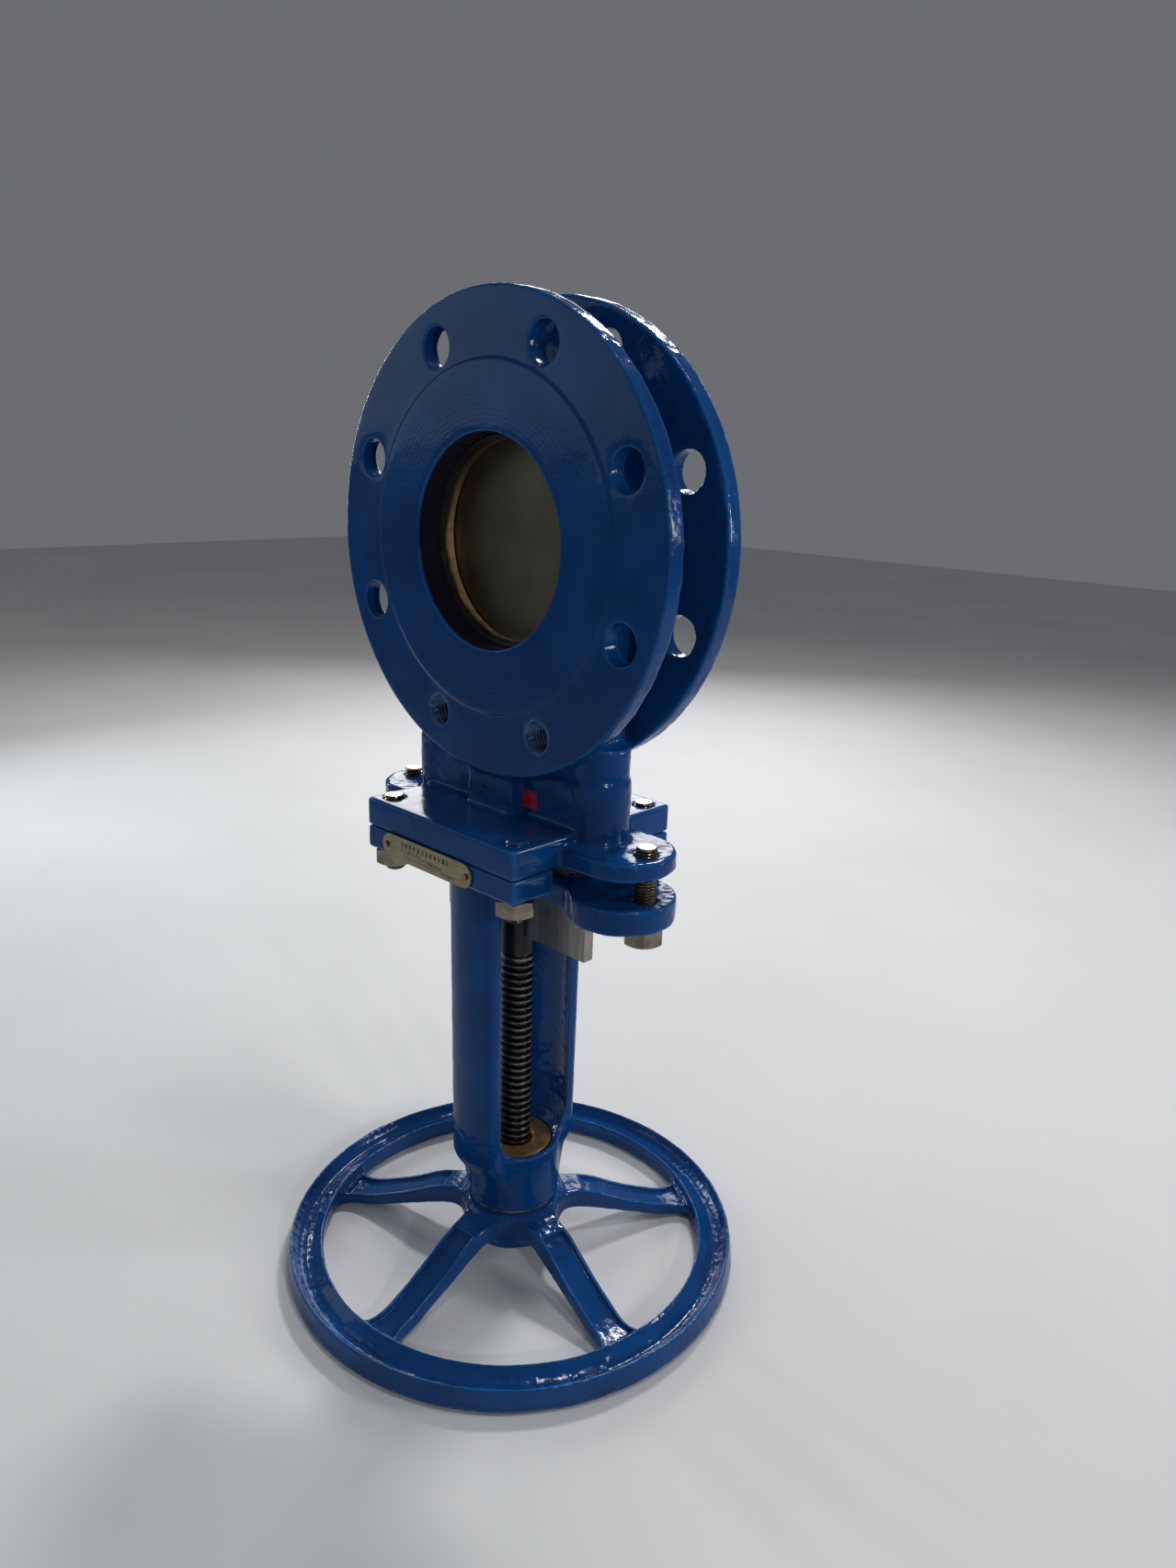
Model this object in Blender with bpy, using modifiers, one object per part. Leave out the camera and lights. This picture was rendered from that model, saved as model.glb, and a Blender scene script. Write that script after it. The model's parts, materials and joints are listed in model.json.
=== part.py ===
"""Knife gate valve, DN100, rising stem with a handwheel, standing upside down on its wheel.

Metres, +Z up. The origin is on the stem axis, on the plane that the wheel's rim stands on.
The pipe runs along Y, the gate's width lies along X, and the gate is closed.
"""
import math

import bmesh
import bpy
from mathutils import Matrix, Vector

GAP = 0.0003                    # clearance between pieces that touch
PASS = 0.005                    # how far a cutter runs past the face it goes through
SINK = 0.001                    # how far a joined block reaches into the metal beside it
HAIR = 0.0001                   # keeps two nearly level faces apart

# Pipe end
BORE_Z = 0.3838                 # height of the pipe axis over the floor
BORE_R = 0.048
FLANGE_R = 0.1075
RAISED_R = 0.078
FACE_Y = 0.0240                 # half of the face-to-face length
FLANGE_Y = 0.0232               # outer side of the flange plate, under the raised face
FLANGE_BACK_Y = 0.0145
BOLT_CIRCLE_R = 0.090
BOLT_HOLE_R = 0.009
TAPPED_HOLE_R = 0.007
TAPPED_DEPTH = 0.014
BOLT_COUNT = 8
BARREL_R = 0.0570

# Seats inside the bore
SEAT_IN_R = 0.0458
SEAT_FAR_Y = 0.0115
SEAL_FAR_Y = 0.0062
SEAL_INSET = 0.0004

# Gate and its pocket
GATE_HALF_W = 0.0505
GATE_HALF_T = 0.003
GATE_TAIL_Z = 0.188
POCKET_HALF_W = 0.0515
POCKET_HALF_T = 0.0036
HOUSING_HALF_W = 0.0605
HOUSING_HALF_T = 0.0095

# Neck plate, chest and ears of the body
PLATE_LOW = 0.2435
PLATE_TOP = 0.2575
PLATE_HALF = 0.0530
PLATE_CORNER_R = 0.0025
EAR_TOP = 0.2525
EAR_R = 0.0235
EAR_X = 0.0710
CHEST_HALF_W = 0.068
CHEST_HALF_T = 0.013
CHEST_TOP = 0.2975
SHOULDER_HALF_W = 0.056
SHOULDER_SLOPE_W = 0.009
SHOULDER_SLOPE_H = 0.010
END_BOSS_R = 0.0140
END_BOSS_X = 0.0545
END_BOSS_TOP = 0.2825
MID_BLOCK_HALF_W = 0.0155
MID_BLOCK_Y = 0.0205

# Stuffing box, packing and gland
BOX_HALF_W = 0.0570
BOX_HALF_T = 0.0095
BOX_END_Z = 0.2815
PACKING_COUNT = 4
PACKING_LOW = 0.2560
GLAND_LOW = 0.2185
GLAND_TOP = 0.2305
GLAND_LOBE_R = 0.0250
GLAND_LOBE_X = 0.0705
GLAND_WAIST_HALF = 0.016
GLAND_BOLT_X = 0.084
SLOT_HALF_W = 0.0509
SLOT_HALF_T = 0.0034
SLOT_CORNER_R = 0.001
NOSE_OVERLAP = 0.004

# M10 fasteners
BOLT_R = 0.005
CLEAR_R = 0.0053
HEX_FLAT = 0.017                # across flats
STUD_X = 0.0445
STUD_Y = 0.0430
STUD_LOW = 0.2205
STUD_TOP = 0.2590
NUT_H = 0.008
GLAND_HEAD_H = 0.0084
BOLT_TIP = 0.0038               # gland bolt beyond the top of its ear
GLAND_HEAD_TURN = 15
YOKE_NUT_TURN = 12

# Yoke
FOOT_LOW = 0.232
FOOT_TOP = PLATE_LOW - GAP
FOOT_INNER_Y = 0.0275
LEG_TOP_R = 0.0358              # the legs taper inwards, down to their bend
LEG_LOW_R = 0.0340
LEG_IN_R = 0.0285
LEG_BEND_Z = 0.0665
LEG_BEND_END = -62              # degrees
LEG_RUN_IN_Z = 0.0430
LEG_RUN_IN_R = 0.0237
LEG_HALF_W = 0.0160
NECK_R = 0.0247
NECK_LOW = 0.0345
NECK_TOP = 0.067
CUP_R = 0.0209
CUP_FLOOR = 0.0585
CUP_MOUTH_Z = 0.0665
SILL_R = 0.0250
SILL_Z = 0.0705
LEG_IN_LOW_Z = 0.080
SLEEVE_BORE_R = 0.0143

# Stem and stem nut
STEM_R = 0.009
STEM_LOW = 0.0140
STEM_TOP = 0.2125
PIN_R = 0.003
PIN_HALF = 0.0084
PIN_PLACES = ((0.1945, "lower"), (0.2055, "upper"))
NUT_FLANGE_R = 0.0205
NUT_TOP = 0.0663
NUT_FLANGE_LOW = 0.0605
NUT_SLEEVE_R = 0.0140
NUT_HUB_R = 0.0130
NUT_THREAD_R = 0.0120
NUT_LOW = 0.0125
UPPER_WASHER_R = 0.0200
LOWER_WASHER_R = 0.0235

# Handwheel
HUB_R = 0.0262
HUB_LOW = 0.0118
HUB_TOP = 0.0325
HUB_RECESS_R = 0.0205
HUB_RECESS_TOP = 0.0215
RIM_OUT_R = 0.1224
RIM_IN_R = 0.1034
RIM_TROUGH_Z = 0.0066
RIM_TROUGH_SIDE_Z = 0.0078
RIM_TROUGH_HALF_W = 0.0046
RIM_WALL_LEAN = 0.0018
RIM_CREST_W = 0.0012
RIM_CREST_FALL = 0.0007
RIM_OUT_CREST_Z = 0.0131
RIM_IN_CREST_Z = 0.0118
RIM_CORNER_R = 0.0035
RIM_CORNER_STEPS = 4
SPOKE_COUNT = 5
SPOKE_AZIMUTH = math.radians(-10.8)
SPOKE_HALF_W = 0.0088
SPOKE_BOTTOM = ((0.020, 0.0190), (0.034, 0.0185), (0.048, 0.0145), (0.088, 0.0018), (0.108, 0.0012))
SPOKE_TOP = ((0.020, 0.0295), (0.034, 0.0292), (0.045, 0.0268), (0.066, 0.0166), (0.088, 0.0088),
             (0.108, 0.0068))   # radius and height along one spoke
KEY_HALF = 0.0025
KEY_IN_X = 0.0112
KEY_OUT_X = 0.0155
KEY_TOP_DROP = 0.0005
LOCK_FLAT = 0.032
LOCK_H = 0.0075

# Nameplate on the front foot
NAME_X0 = -0.0395
NAME_X1 = 0.0265
NAME_HALF_H = 0.0060
NAME_Z = 0.2378
NAME_T = 0.0008
RIVET_R = 0.0014
RIVET_INSET = 0.0035
RIVET_CLEARANCE = 0.0002
RIVET_HEAD_Y = 0.0020

ROUND = 48                      # sides of a large round
SMALL_ROUND = 16                # sides of a small round
FLANGE_ROUND = 72
RIM_ROUND = 64
NUT_ROUND = 40
WASHER_ROUND = 32
STEM_ROUND = 24

BLUE = (0.010, 0.045, 0.200)
STAINLESS = (0.42, 0.40, 0.37)
ZINC = (0.55, 0.52, 0.42)
BRONZE = (0.45, 0.28, 0.12)
OILED_STEEL = (0.05, 0.05, 0.05)
RUBBER = (0.02, 0.02, 0.02)
PACKING = (0.75, 0.72, 0.65)
BRASS = (0.45, 0.40, 0.28)


def clear_scene():
    for item in list(bpy.data.objects):
        bpy.data.objects.remove(item, do_unlink=True)


def make_collection(name):
    collection = bpy.data.collections.new(name)
    bpy.context.scene.collection.children.link(collection)
    return collection


def make_material(name, colour, roughness, metallic):
    material = bpy.data.materials.new(name)
    material.use_nodes = True
    shader = material.node_tree.nodes["Principled BSDF"]
    shader.inputs["Base Color"].default_value = (*colour, 1.0)
    shader.inputs["Roughness"].default_value = roughness
    shader.inputs["Metallic"].default_value = metallic
    return material


def add_part(name, mesh, finish, origin=(0.0, 0.0, 0.0)):
    """Link a mesh as one named part; its origin goes to `origin`, its shape stays where it is."""
    part = bpy.data.objects.new(name, mesh)
    PARTS.objects.link(part)
    mesh.transform(Matrix.Translation(-Vector(origin)))
    part.location = origin
    colour, roughness, metallic = finish
    part.data.materials.append(make_material(name + "_finish", colour, roughness, metallic))
    mesh.shade_smooth()
    mesh.set_sharp_from_angle(angle=math.radians(35))
    return part


def add_tool(name, mesh):
    """Link a mesh that only cuts or extends a part."""
    tool = bpy.data.objects.new(name, mesh)
    TOOLS.objects.link(tool)
    tool.hide_render = True
    tool.display_type = 'WIRE'
    return tool


def combine(part, mesh, operation, label):
    """Cut `mesh` out of a part, join it on, or keep what both share."""
    tool = add_tool(part.name + "_" + label, mesh)
    tool.parent = part
    tool.matrix_parent_inverse = Matrix.Translation(-part.location)
    modifier = part.modifiers.new(label, 'BOOLEAN')
    modifier.object = tool
    modifier.operation = operation
    return part


def join(part, mesh, label):
    return combine(part, mesh, 'UNION', label)


def cut(part, mesh, label):
    return combine(part, mesh, 'DIFFERENCE', label)


def mesh_from_bmesh(name, shape):
    mesh = bpy.data.meshes.new(name)
    shape.to_mesh(mesh)
    shape.free()
    return mesh


def rod(radius, low, high, sides=SMALL_ROUND, centre=(0.0, 0.0)):
    """A cylinder along Z."""
    shape = bmesh.new()
    place = Matrix.Translation((centre[0], centre[1], (low + high) / 2))
    bmesh.ops.create_cone(shape, cap_ends=True, segments=sides, radius1=radius, radius2=radius,
                          depth=high - low, matrix=place)
    return mesh_from_bmesh("rod", shape)


def rod_y(radius, near, far, x, z, sides=SMALL_ROUND):
    """A cylinder along Y from near to far."""
    shape = bmesh.new()
    place = Matrix.Translation((x, (near + far) / 2, z)) @ Matrix.Rotation(math.pi / 2, 4, 'X')
    bmesh.ops.create_cone(shape, cap_ends=True, segments=sides, radius1=radius, radius2=radius,
                          depth=far - near, matrix=place)
    return mesh_from_bmesh("rod", shape)


def box(low, high):
    shape = bmesh.new()
    size = Vector(high) - Vector(low)
    place = Matrix.Translation((Vector(low) + Vector(high)) / 2) @ Matrix.Diagonal((*size, 1.0))
    bmesh.ops.create_cube(shape, size=1.0, matrix=place)
    return mesh_from_bmesh("box", shape)


def arc(centre, radius, start, end, count):
    """Points along an arc, angles in degrees."""
    points = []
    for step in range(count + 1):
        angle = math.radians(start + (end - start) * step / count)
        points.append((centre[0] + radius * math.cos(angle), centre[1] + radius * math.sin(angle)))
    return points


def rounded_rectangle(x0, x1, y0, y1, radius, count=3):
    outline = []
    corners = ((x1, y0, -90), (x1, y1, 0), (x0, y1, 90), (x0, y0, 180))
    for x, y, start in corners:
        centre = (x + (radius if x == x0 else -radius), y + (radius if y == y0 else -radius))
        outline += arc(centre, radius, start, start + 90, count)
    return outline


def stadium(half_length, half_width, count=12):
    centre = half_length - half_width
    return arc((centre, 0), half_width, -90, 90, count) + arc((-centre, 0), half_width, 90, 270, count)


def prism(outline, low, high):
    """A flat outline in X and Y, filled and thickened from low to high."""
    curve = bpy.data.curves.new("outline", 'CURVE')
    curve.dimensions = '2D'
    curve.fill_mode = 'BOTH'
    curve.extrude = (high - low) / 2
    spline = curve.splines.new('POLY')
    spline.points.add(len(outline) - 1)
    for point, (x, y) in zip(spline.points, outline):
        point.co = (x, y, 0.0, 1.0)
    spline.use_cyclic_u = True
    holder = bpy.data.objects.new("outline", curve)
    bpy.context.scene.collection.objects.link(holder)
    graph = bpy.context.evaluated_depsgraph_get()
    mesh = bpy.data.meshes.new_from_object(holder.evaluated_get(graph))
    bpy.data.objects.remove(holder)
    shape = bmesh.new()
    shape.from_mesh(mesh)
    bmesh.ops.remove_doubles(shape, verts=shape.verts, dist=1e-6)
    bmesh.ops.dissolve_limit(shape, angle_limit=0.001, verts=shape.verts, edges=shape.edges)
    bmesh.ops.recalc_face_normals(shape, faces=shape.faces)
    shape.to_mesh(mesh)
    shape.free()
    mesh.materials.clear()
    mesh.transform(Matrix.Translation((0, 0, (low + high) / 2)))
    return mesh


def prism_y(outline, near, far):
    """A flat outline in X and Z, thickened along Y from near to far."""
    mesh = prism(outline, -far, -near)
    mesh.transform(Matrix.Rotation(math.pi / 2, 4, 'X'))
    return mesh


def turned(profile, steps=ROUND, closed=False):
    """A profile of (radius, height) points turned about Z, its outer side from top to bottom."""
    mesh = bpy.data.meshes.new("profile")
    points = [(radius, 0.0, height) for radius, height in profile]
    edges = [(i, i + 1) for i in range(len(points) - 1)]
    if closed:
        edges.append((len(points) - 1, 0))
    mesh.from_pydata(points, edges, [])
    holder = bpy.data.objects.new("profile", mesh)
    bpy.context.scene.collection.objects.link(holder)
    screw = holder.modifiers.new("turn", 'SCREW')
    screw.steps = steps
    screw.render_steps = steps
    screw.use_merge_vertices = True
    screw.merge_threshold = 0.00001
    graph = bpy.context.evaluated_depsgraph_get()
    result = bpy.data.meshes.new_from_object(holder.evaluated_get(graph))
    bpy.data.objects.remove(holder)
    return result


def hexagon(flat, centre=(0.0, 0.0), turn=0.0):
    corner = flat / math.sqrt(3)
    return [(centre[0] + corner * math.cos(math.radians(turn + 60 * k)),
             centre[1] + corner * math.sin(math.radians(turn + 60 * k))) for k in range(6)]


def flange_hole_places():
    """X and Z of the bolt holes, and whether each one is a blind tapped hole over the chest."""
    for index in range(BOLT_COUNT):
        angle = math.radians(22.5 + 360 / BOLT_COUNT * index)
        x = BOLT_CIRCLE_R * math.cos(angle)
        z = BORE_Z + BOLT_CIRCLE_R * math.sin(angle)
        yield index, x, z, math.sin(angle) < -0.9


def u_outline(half_width, low):
    """A slot that is open at the bottom and round at the top, about the pipe axis."""
    top = arc((0, BORE_Z), half_width, 0, 180, 24)
    return [(-half_width, low), (half_width, low)] + top


def shoulder_outline():
    """The casting between the two flanges over the chest, seen from the front."""
    half = SHOULDER_HALF_W
    top = CHEST_TOP + SHOULDER_SLOPE_H
    return [(-half, END_BOSS_TOP), (half, END_BOSS_TOP), (half, CHEST_TOP),
            (half - SHOULDER_SLOPE_W, top), (-half + SHOULDER_SLOPE_W, top), (-half, CHEST_TOP)]


def make_body():
    finish = (BLUE, 0.25, 0.0)
    body = add_part("valve_body", prism_y(u_outline(HOUSING_HALF_W, PLATE_LOW + SINK),
                                          -HOUSING_HALF_T, HOUSING_HALF_T), finish)
    join(body, rod_y(BARREL_R, -FLANGE_BACK_Y - SINK, FLANGE_BACK_Y + SINK, 0, BORE_Z, ROUND), "barrel")
    for side, label in ((-1, "front"), (1, "rear")):
        plate = sorted((side * FLANGE_BACK_Y, side * FLANGE_Y))
        face = sorted((side * (FLANGE_BACK_Y + 2 * SINK), side * FACE_Y))
        join(body, rod_y(FLANGE_R, *plate, 0, BORE_Z, FLANGE_ROUND), label + "_flange")
        join(body, rod_y(RAISED_R, *face, 0, BORE_Z, ROUND), label + "_raised_face")
    chest = prism(stadium(CHEST_HALF_W, CHEST_HALF_T), PLATE_LOW + 2 * SINK, CHEST_TOP)
    join(body, chest, "chest")
    shoulder = prism_y(shoulder_outline(), -FLANGE_BACK_Y - SINK, FLANGE_BACK_Y + SINK)
    join(body, shoulder, "shoulder")
    for side, label in ((-1, "left"), (1, "right")):
        boss = rod(END_BOSS_R, PLATE_LOW + 3 * SINK, END_BOSS_TOP, ROUND, (side * END_BOSS_X, 0))
        join(body, boss, label + "_end_boss")
    block = box((-MID_BLOCK_HALF_W, -MID_BLOCK_Y, PLATE_LOW + 4 * SINK),
                (MID_BLOCK_HALF_W, MID_BLOCK_Y, CHEST_TOP + 5 * SINK))
    join(body, block, "middle_block")
    ears = prism(stadium(EAR_X + EAR_R, EAR_R, 20), PLATE_LOW + 2 * HAIR, EAR_TOP)
    join(body, ears, "ears")
    plate = prism(rounded_rectangle(-PLATE_HALF, PLATE_HALF, -PLATE_HALF, PLATE_HALF, PLATE_CORNER_R),
                  PLATE_LOW, PLATE_TOP)
    join(body, plate, "neck_plate")
    cut(body, rod_y(BORE_R, -FACE_Y - PASS, FACE_Y + PASS, 0, BORE_Z, ROUND), "bore")
    cut(body, prism_y(u_outline(POCKET_HALF_W, PLATE_LOW - PASS), -POCKET_HALF_T, POCKET_HALF_T),
        "gate_pocket")
    cut(body, prism(stadium(BOX_HALF_W, BOX_HALF_T), PLATE_LOW - PASS, BOX_END_Z), "stuffing_box")
    cut_flange_holes(body)
    for side, label in ((-1, "left"), (1, "right")):
        hole = rod(CLEAR_R, PLATE_LOW - PASS, EAR_TOP + PASS, SMALL_ROUND, (side * GLAND_BOLT_X, 0))
        cut(body, hole, label + "_gland_hole")
    for x, y, label in stud_places():
        cut(body, rod(CLEAR_R, PLATE_LOW - PASS, PLATE_TOP + PASS, SMALL_ROUND, (x, y)),
            label + "_stud_hole")
    return body


def cut_flange_holes(body):
    outside = FACE_Y + PASS
    inside = FLANGE_BACK_Y - PASS / 2
    for index, x, z, tapped in flange_hole_places():
        if tapped:
            inner = FLANGE_Y - TAPPED_DEPTH
            cut(body, rod_y(TAPPED_HOLE_R, -outside, -inner, x, z), "front_tapped_%d" % index)
            cut(body, rod_y(TAPPED_HOLE_R, inner, outside, x, z), "rear_tapped_%d" % index)
        else:
            cut(body, rod_y(BOLT_HOLE_R, -outside, -inside, x, z), "front_hole_%d" % index)
            cut(body, rod_y(BOLT_HOLE_R, inside, outside, x, z), "rear_hole_%d" % index)


def stud_places():
    for x, x_label in ((-STUD_X, "left"), (STUD_X, "right")):
        for y, y_label in ((-STUD_Y, "front"), (STUD_Y, "rear")):
            yield x, y, y_label + "_" + x_label


def ring_y(inner, outer, near, far):
    """A ring about the pipe axis."""
    half = (far - near) / 2
    mesh = turned([(inner, half), (outer, half), (outer, -half), (inner, -half)], closed=True)
    mesh.transform(Matrix.Translation((0, (near + far) / 2, BORE_Z)) @ Matrix.Rotation(math.pi / 2, 4, 'X'))
    return mesh


def make_seats():
    outer = BORE_R - GAP
    face = POCKET_HALF_T + HAIR
    add_part("front_seat_ring", ring_y(SEAT_IN_R, outer, -SEAT_FAR_Y, -face), (BRONZE, 0.35, 1.0))
    add_part("seat_seal", ring_y(SEAT_IN_R + SEAL_INSET, outer, face, SEAL_FAR_Y), (RUBBER, 0.7, 0.0))
    add_part("rear_seat_ring", ring_y(SEAT_IN_R, outer, SEAL_FAR_Y + GAP, SEAT_FAR_Y), (STAINLESS, 0.35, 1.0))


def make_gate():
    outline = u_outline(GATE_HALF_W, GATE_TAIL_Z)
    gate = add_part("knife_gate", prism_y(outline, -GATE_HALF_T, GATE_HALF_T), (STAINLESS, 0.4, 1.0),
                    (0, 0, GATE_TAIL_Z))
    for z, label in PIN_PLACES:
        cut(gate, rod_y(PIN_R + GAP, -GATE_HALF_T - PASS, GATE_HALF_T + PASS, 0, z), label + "_pin_hole")
    return gate


def make_packing():
    step = (BOX_END_Z - GAP - PACKING_LOW) / PACKING_COUNT
    for index in range(PACKING_COUNT):
        low = PACKING_LOW + index * step
        outline = stadium(BOX_HALF_W - GAP, BOX_HALF_T - GAP)
        ring = add_part("packing_ring_%d" % (index + 1), prism(outline, low, low + step - GAP),
                        (PACKING, 0.8, 0.0))
        slot = rounded_rectangle(-SLOT_HALF_W, SLOT_HALF_W, -SLOT_HALF_T, SLOT_HALF_T, SLOT_CORNER_R, 2)
        cut(ring, prism(slot, low - PASS, low + step + PASS), "gate_slot")


def make_gland():
    waist = box((-GLAND_LOBE_X, -GLAND_WAIST_HALF, GLAND_LOW), (GLAND_LOBE_X, GLAND_WAIST_HALF, GLAND_TOP))
    gland = add_part("gland", waist, (BLUE, 0.3, 0.0))
    for side, label in ((-1, "left"), (1, "right")):
        join(gland, rod(GLAND_LOBE_R, GLAND_LOW + HAIR, GLAND_TOP - HAIR, ROUND,
                        (side * GLAND_LOBE_X, 0)), label + "_lobe")
    join(gland, prism(stadium(BOX_HALF_W - 2 * GAP, BOX_HALF_T - 2 * GAP), GLAND_TOP - NOSE_OVERLAP,
                      PACKING_LOW - GAP), "nose")
    slot = rounded_rectangle(-SLOT_HALF_W, SLOT_HALF_W, -SLOT_HALF_T, SLOT_HALF_T, SLOT_CORNER_R, 2)
    cut(gland, prism(slot, GLAND_LOW - PASS, PACKING_LOW + PASS), "gate_slot")
    for side, label in ((-1, "left"), (1, "right")):
        cut(gland, rod(CLEAR_R, GLAND_LOW - PASS, GLAND_TOP + PASS, SMALL_ROUND,
                       (side * GLAND_BOLT_X, 0)), label + "_bolt_hole")
    return gland


def make_gland_bolts():
    head_low = GLAND_LOW - GAP - GLAND_HEAD_H
    for side, label in ((-1, "left"), (1, "right")):
        centre = (side * GLAND_BOLT_X, 0)
        head = prism(hexagon(HEX_FLAT, centre, GLAND_HEAD_TURN), head_low, GLAND_LOW - GAP)
        bolt = add_part("gland_bolt_" + label, head, (ZINC, 0.4, 1.0), (*centre, head_low))
        join(bolt, rod(BOLT_R, head_low + 2 * SINK, EAR_TOP + BOLT_TIP, SMALL_ROUND, centre), "shank")


def make_yoke_fasteners():
    nut_top = FOOT_LOW - GAP
    for x, y, label in stud_places():
        add_part("yoke_stud_" + label, rod(BOLT_R, STUD_LOW, STUD_TOP, SMALL_ROUND, (x, y)),
                 (ZINC, 0.4, 1.0), (x, y, STUD_LOW))
        outline = hexagon(HEX_FLAT, (x, y), YOKE_NUT_TURN)
        nut = add_part("yoke_nut_" + label, prism(outline, nut_top - NUT_H, nut_top),
                       (ZINC, 0.4, 1.0), (x, y, nut_top))
        cut(nut, rod(CLEAR_R, nut_top - NUT_H - PASS, nut_top + PASS, SMALL_ROUND, (x, y)), "thread_hole")


def yoke_shell_profile():
    """Outer side of the two legs down to where they run in to the neck."""
    bend_r = NECK_R - SINK / 2
    foot_bend = arc((bend_r, LEG_BEND_Z), LEG_LOW_R - bend_r, 0, LEG_BEND_END, 5)
    return ([(0, FOOT_TOP - SINK), (LEG_TOP_R, FOOT_TOP - SINK)] + foot_bend
            + [(LEG_RUN_IN_R, LEG_RUN_IN_Z), (0, LEG_RUN_IN_Z)])


def make_yoke():
    yoke = add_part("yoke", turned(yoke_shell_profile()), (BLUE, 0.25, 0.0))
    reach = LEG_TOP_R + PASS
    strip = box((-LEG_HALF_W, -reach, LEG_RUN_IN_Z - PASS), (LEG_HALF_W, reach, FOOT_TOP + PASS))
    combine(yoke, strip, 'INTERSECT', "leg_width")
    join(yoke, rod(NECK_R, NECK_LOW, NECK_TOP, ROUND), "neck")
    for side, label in ((-1, "front"), (1, "rear")):
        near, far = sorted((side * FOOT_INNER_Y, side * PLATE_HALF))
        outline = rounded_rectangle(-PLATE_HALF, PLATE_HALF, near, far, PLATE_CORNER_R)
        foot = prism(outline, FOOT_LOW, FOOT_TOP)
        join(yoke, foot, label + "_foot")
    above = FOOT_TOP + PASS
    below = NECK_LOW - PASS
    inside = [(0, above), (LEG_IN_R, above), (LEG_IN_R, LEG_IN_LOW_Z), (SILL_R, SILL_Z),
              (CUP_R, CUP_MOUTH_Z), (CUP_R, CUP_FLOOR), (SLEEVE_BORE_R, CUP_FLOOR),
              (SLEEVE_BORE_R, below), (0, below)]
    cut(yoke, turned(inside), "inside")
    for x, y, label in stud_places():
        cut(yoke, rod(CLEAR_R, FOOT_LOW - PASS, FOOT_TOP + PASS, SMALL_ROUND, (x, y)),
            label + "_stud_hole")
    return yoke


def make_stem():
    stem = add_part("stem", rod(STEM_R, STEM_LOW, STEM_TOP, STEM_ROUND), (OILED_STEEL, 0.35, 1.0),
                    (0, 0, STEM_LOW))
    slot_low = GATE_TAIL_Z - GAP
    reach = STEM_R + PASS
    cut(stem, box((-reach, -GATE_HALF_T - GAP, slot_low), (reach, GATE_HALF_T + GAP, STEM_TOP + PASS)),
        "fork")
    for z, label in PIN_PLACES:
        cut(stem, rod_y(PIN_R + GAP, -reach, reach, 0, z), label + "_pin_hole")
        add_part("gate_pin_" + label, rod_y(PIN_R, -PIN_HALF, PIN_HALF, 0, z), (STAINLESS, 0.4, 1.0),
                 (0, 0, z))
    return stem


def make_stem_nut():
    bore = STEM_R + GAP
    profile = [(bore, NUT_TOP), (NUT_FLANGE_R, NUT_TOP), (NUT_FLANGE_R, NUT_FLANGE_LOW),
               (NUT_SLEEVE_R, NUT_FLANGE_LOW), (NUT_SLEEVE_R, HUB_TOP + GAP),
               (NUT_HUB_R, HUB_TOP + GAP), (NUT_HUB_R, HUB_RECESS_TOP),
               (NUT_THREAD_R, HUB_RECESS_TOP), (NUT_THREAD_R, NUT_LOW), (bore, NUT_LOW)]
    nut = add_part("stem_nut", turned(profile, NUT_ROUND, closed=True), (BRONZE, 0.35, 1.0))
    cut(nut, key_block(GAP), "keyway")
    upper = [(SLEEVE_BORE_R, NUT_FLANGE_LOW - GAP), (UPPER_WASHER_R, NUT_FLANGE_LOW - GAP),
             (UPPER_WASHER_R, CUP_FLOOR + GAP), (SLEEVE_BORE_R, CUP_FLOOR + GAP)]
    add_part("upper_thrust_washer", turned(upper, WASHER_ROUND, closed=True), (STAINLESS, 0.4, 1.0))
    lower = [(SLEEVE_BORE_R, NECK_LOW - GAP), (LOWER_WASHER_R, NECK_LOW - GAP),
             (LOWER_WASHER_R, HUB_TOP + GAP), (SLEEVE_BORE_R, HUB_TOP + GAP)]
    add_part("lower_thrust_washer", turned(lower, WASHER_ROUND, closed=True), (STAINLESS, 0.4, 1.0))


def key_block(clearance):
    """The wheel key, or its seat when it is given a clearance."""
    low = HUB_RECESS_TOP + GAP - clearance
    return box((KEY_IN_X - clearance, -KEY_HALF - clearance, low),
               (KEY_OUT_X + clearance, KEY_HALF + clearance, HUB_TOP - KEY_TOP_DROP + clearance))


def rim_profile():
    """Cast rim: a channel between two crests on top, and rounded corners on the side it stands on."""
    middle = (RIM_IN_R + RIM_OUT_R) / 2
    trough = [(middle - RIM_TROUGH_HALF_W, RIM_TROUGH_SIDE_Z), (middle, RIM_TROUGH_Z),
              (middle + RIM_TROUGH_HALF_W, RIM_TROUGH_SIDE_Z)]
    wall_top = RIM_OUT_R - RIM_WALL_LEAN
    outer_crest = [(wall_top - RIM_CREST_W, RIM_OUT_CREST_Z), (wall_top, RIM_OUT_CREST_Z - RIM_CREST_FALL)]
    inner_crest = [(RIM_IN_R, RIM_IN_CREST_Z - RIM_CREST_FALL), (RIM_IN_R + RIM_CREST_W, RIM_IN_CREST_Z)]
    outer_corner = arc((RIM_OUT_R - RIM_CORNER_R, RIM_CORNER_R), RIM_CORNER_R, 0, -90, RIM_CORNER_STEPS)
    inner_corner = arc((RIM_IN_R + RIM_CORNER_R, RIM_CORNER_R), RIM_CORNER_R, -90, -180, RIM_CORNER_STEPS)
    return trough + outer_crest + outer_corner + inner_corner + inner_crest


def spoke_outline():
    """One spoke seen from the side, from inside the hub to inside the rim."""
    return list(SPOKE_BOTTOM) + list(reversed(SPOKE_TOP))


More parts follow.
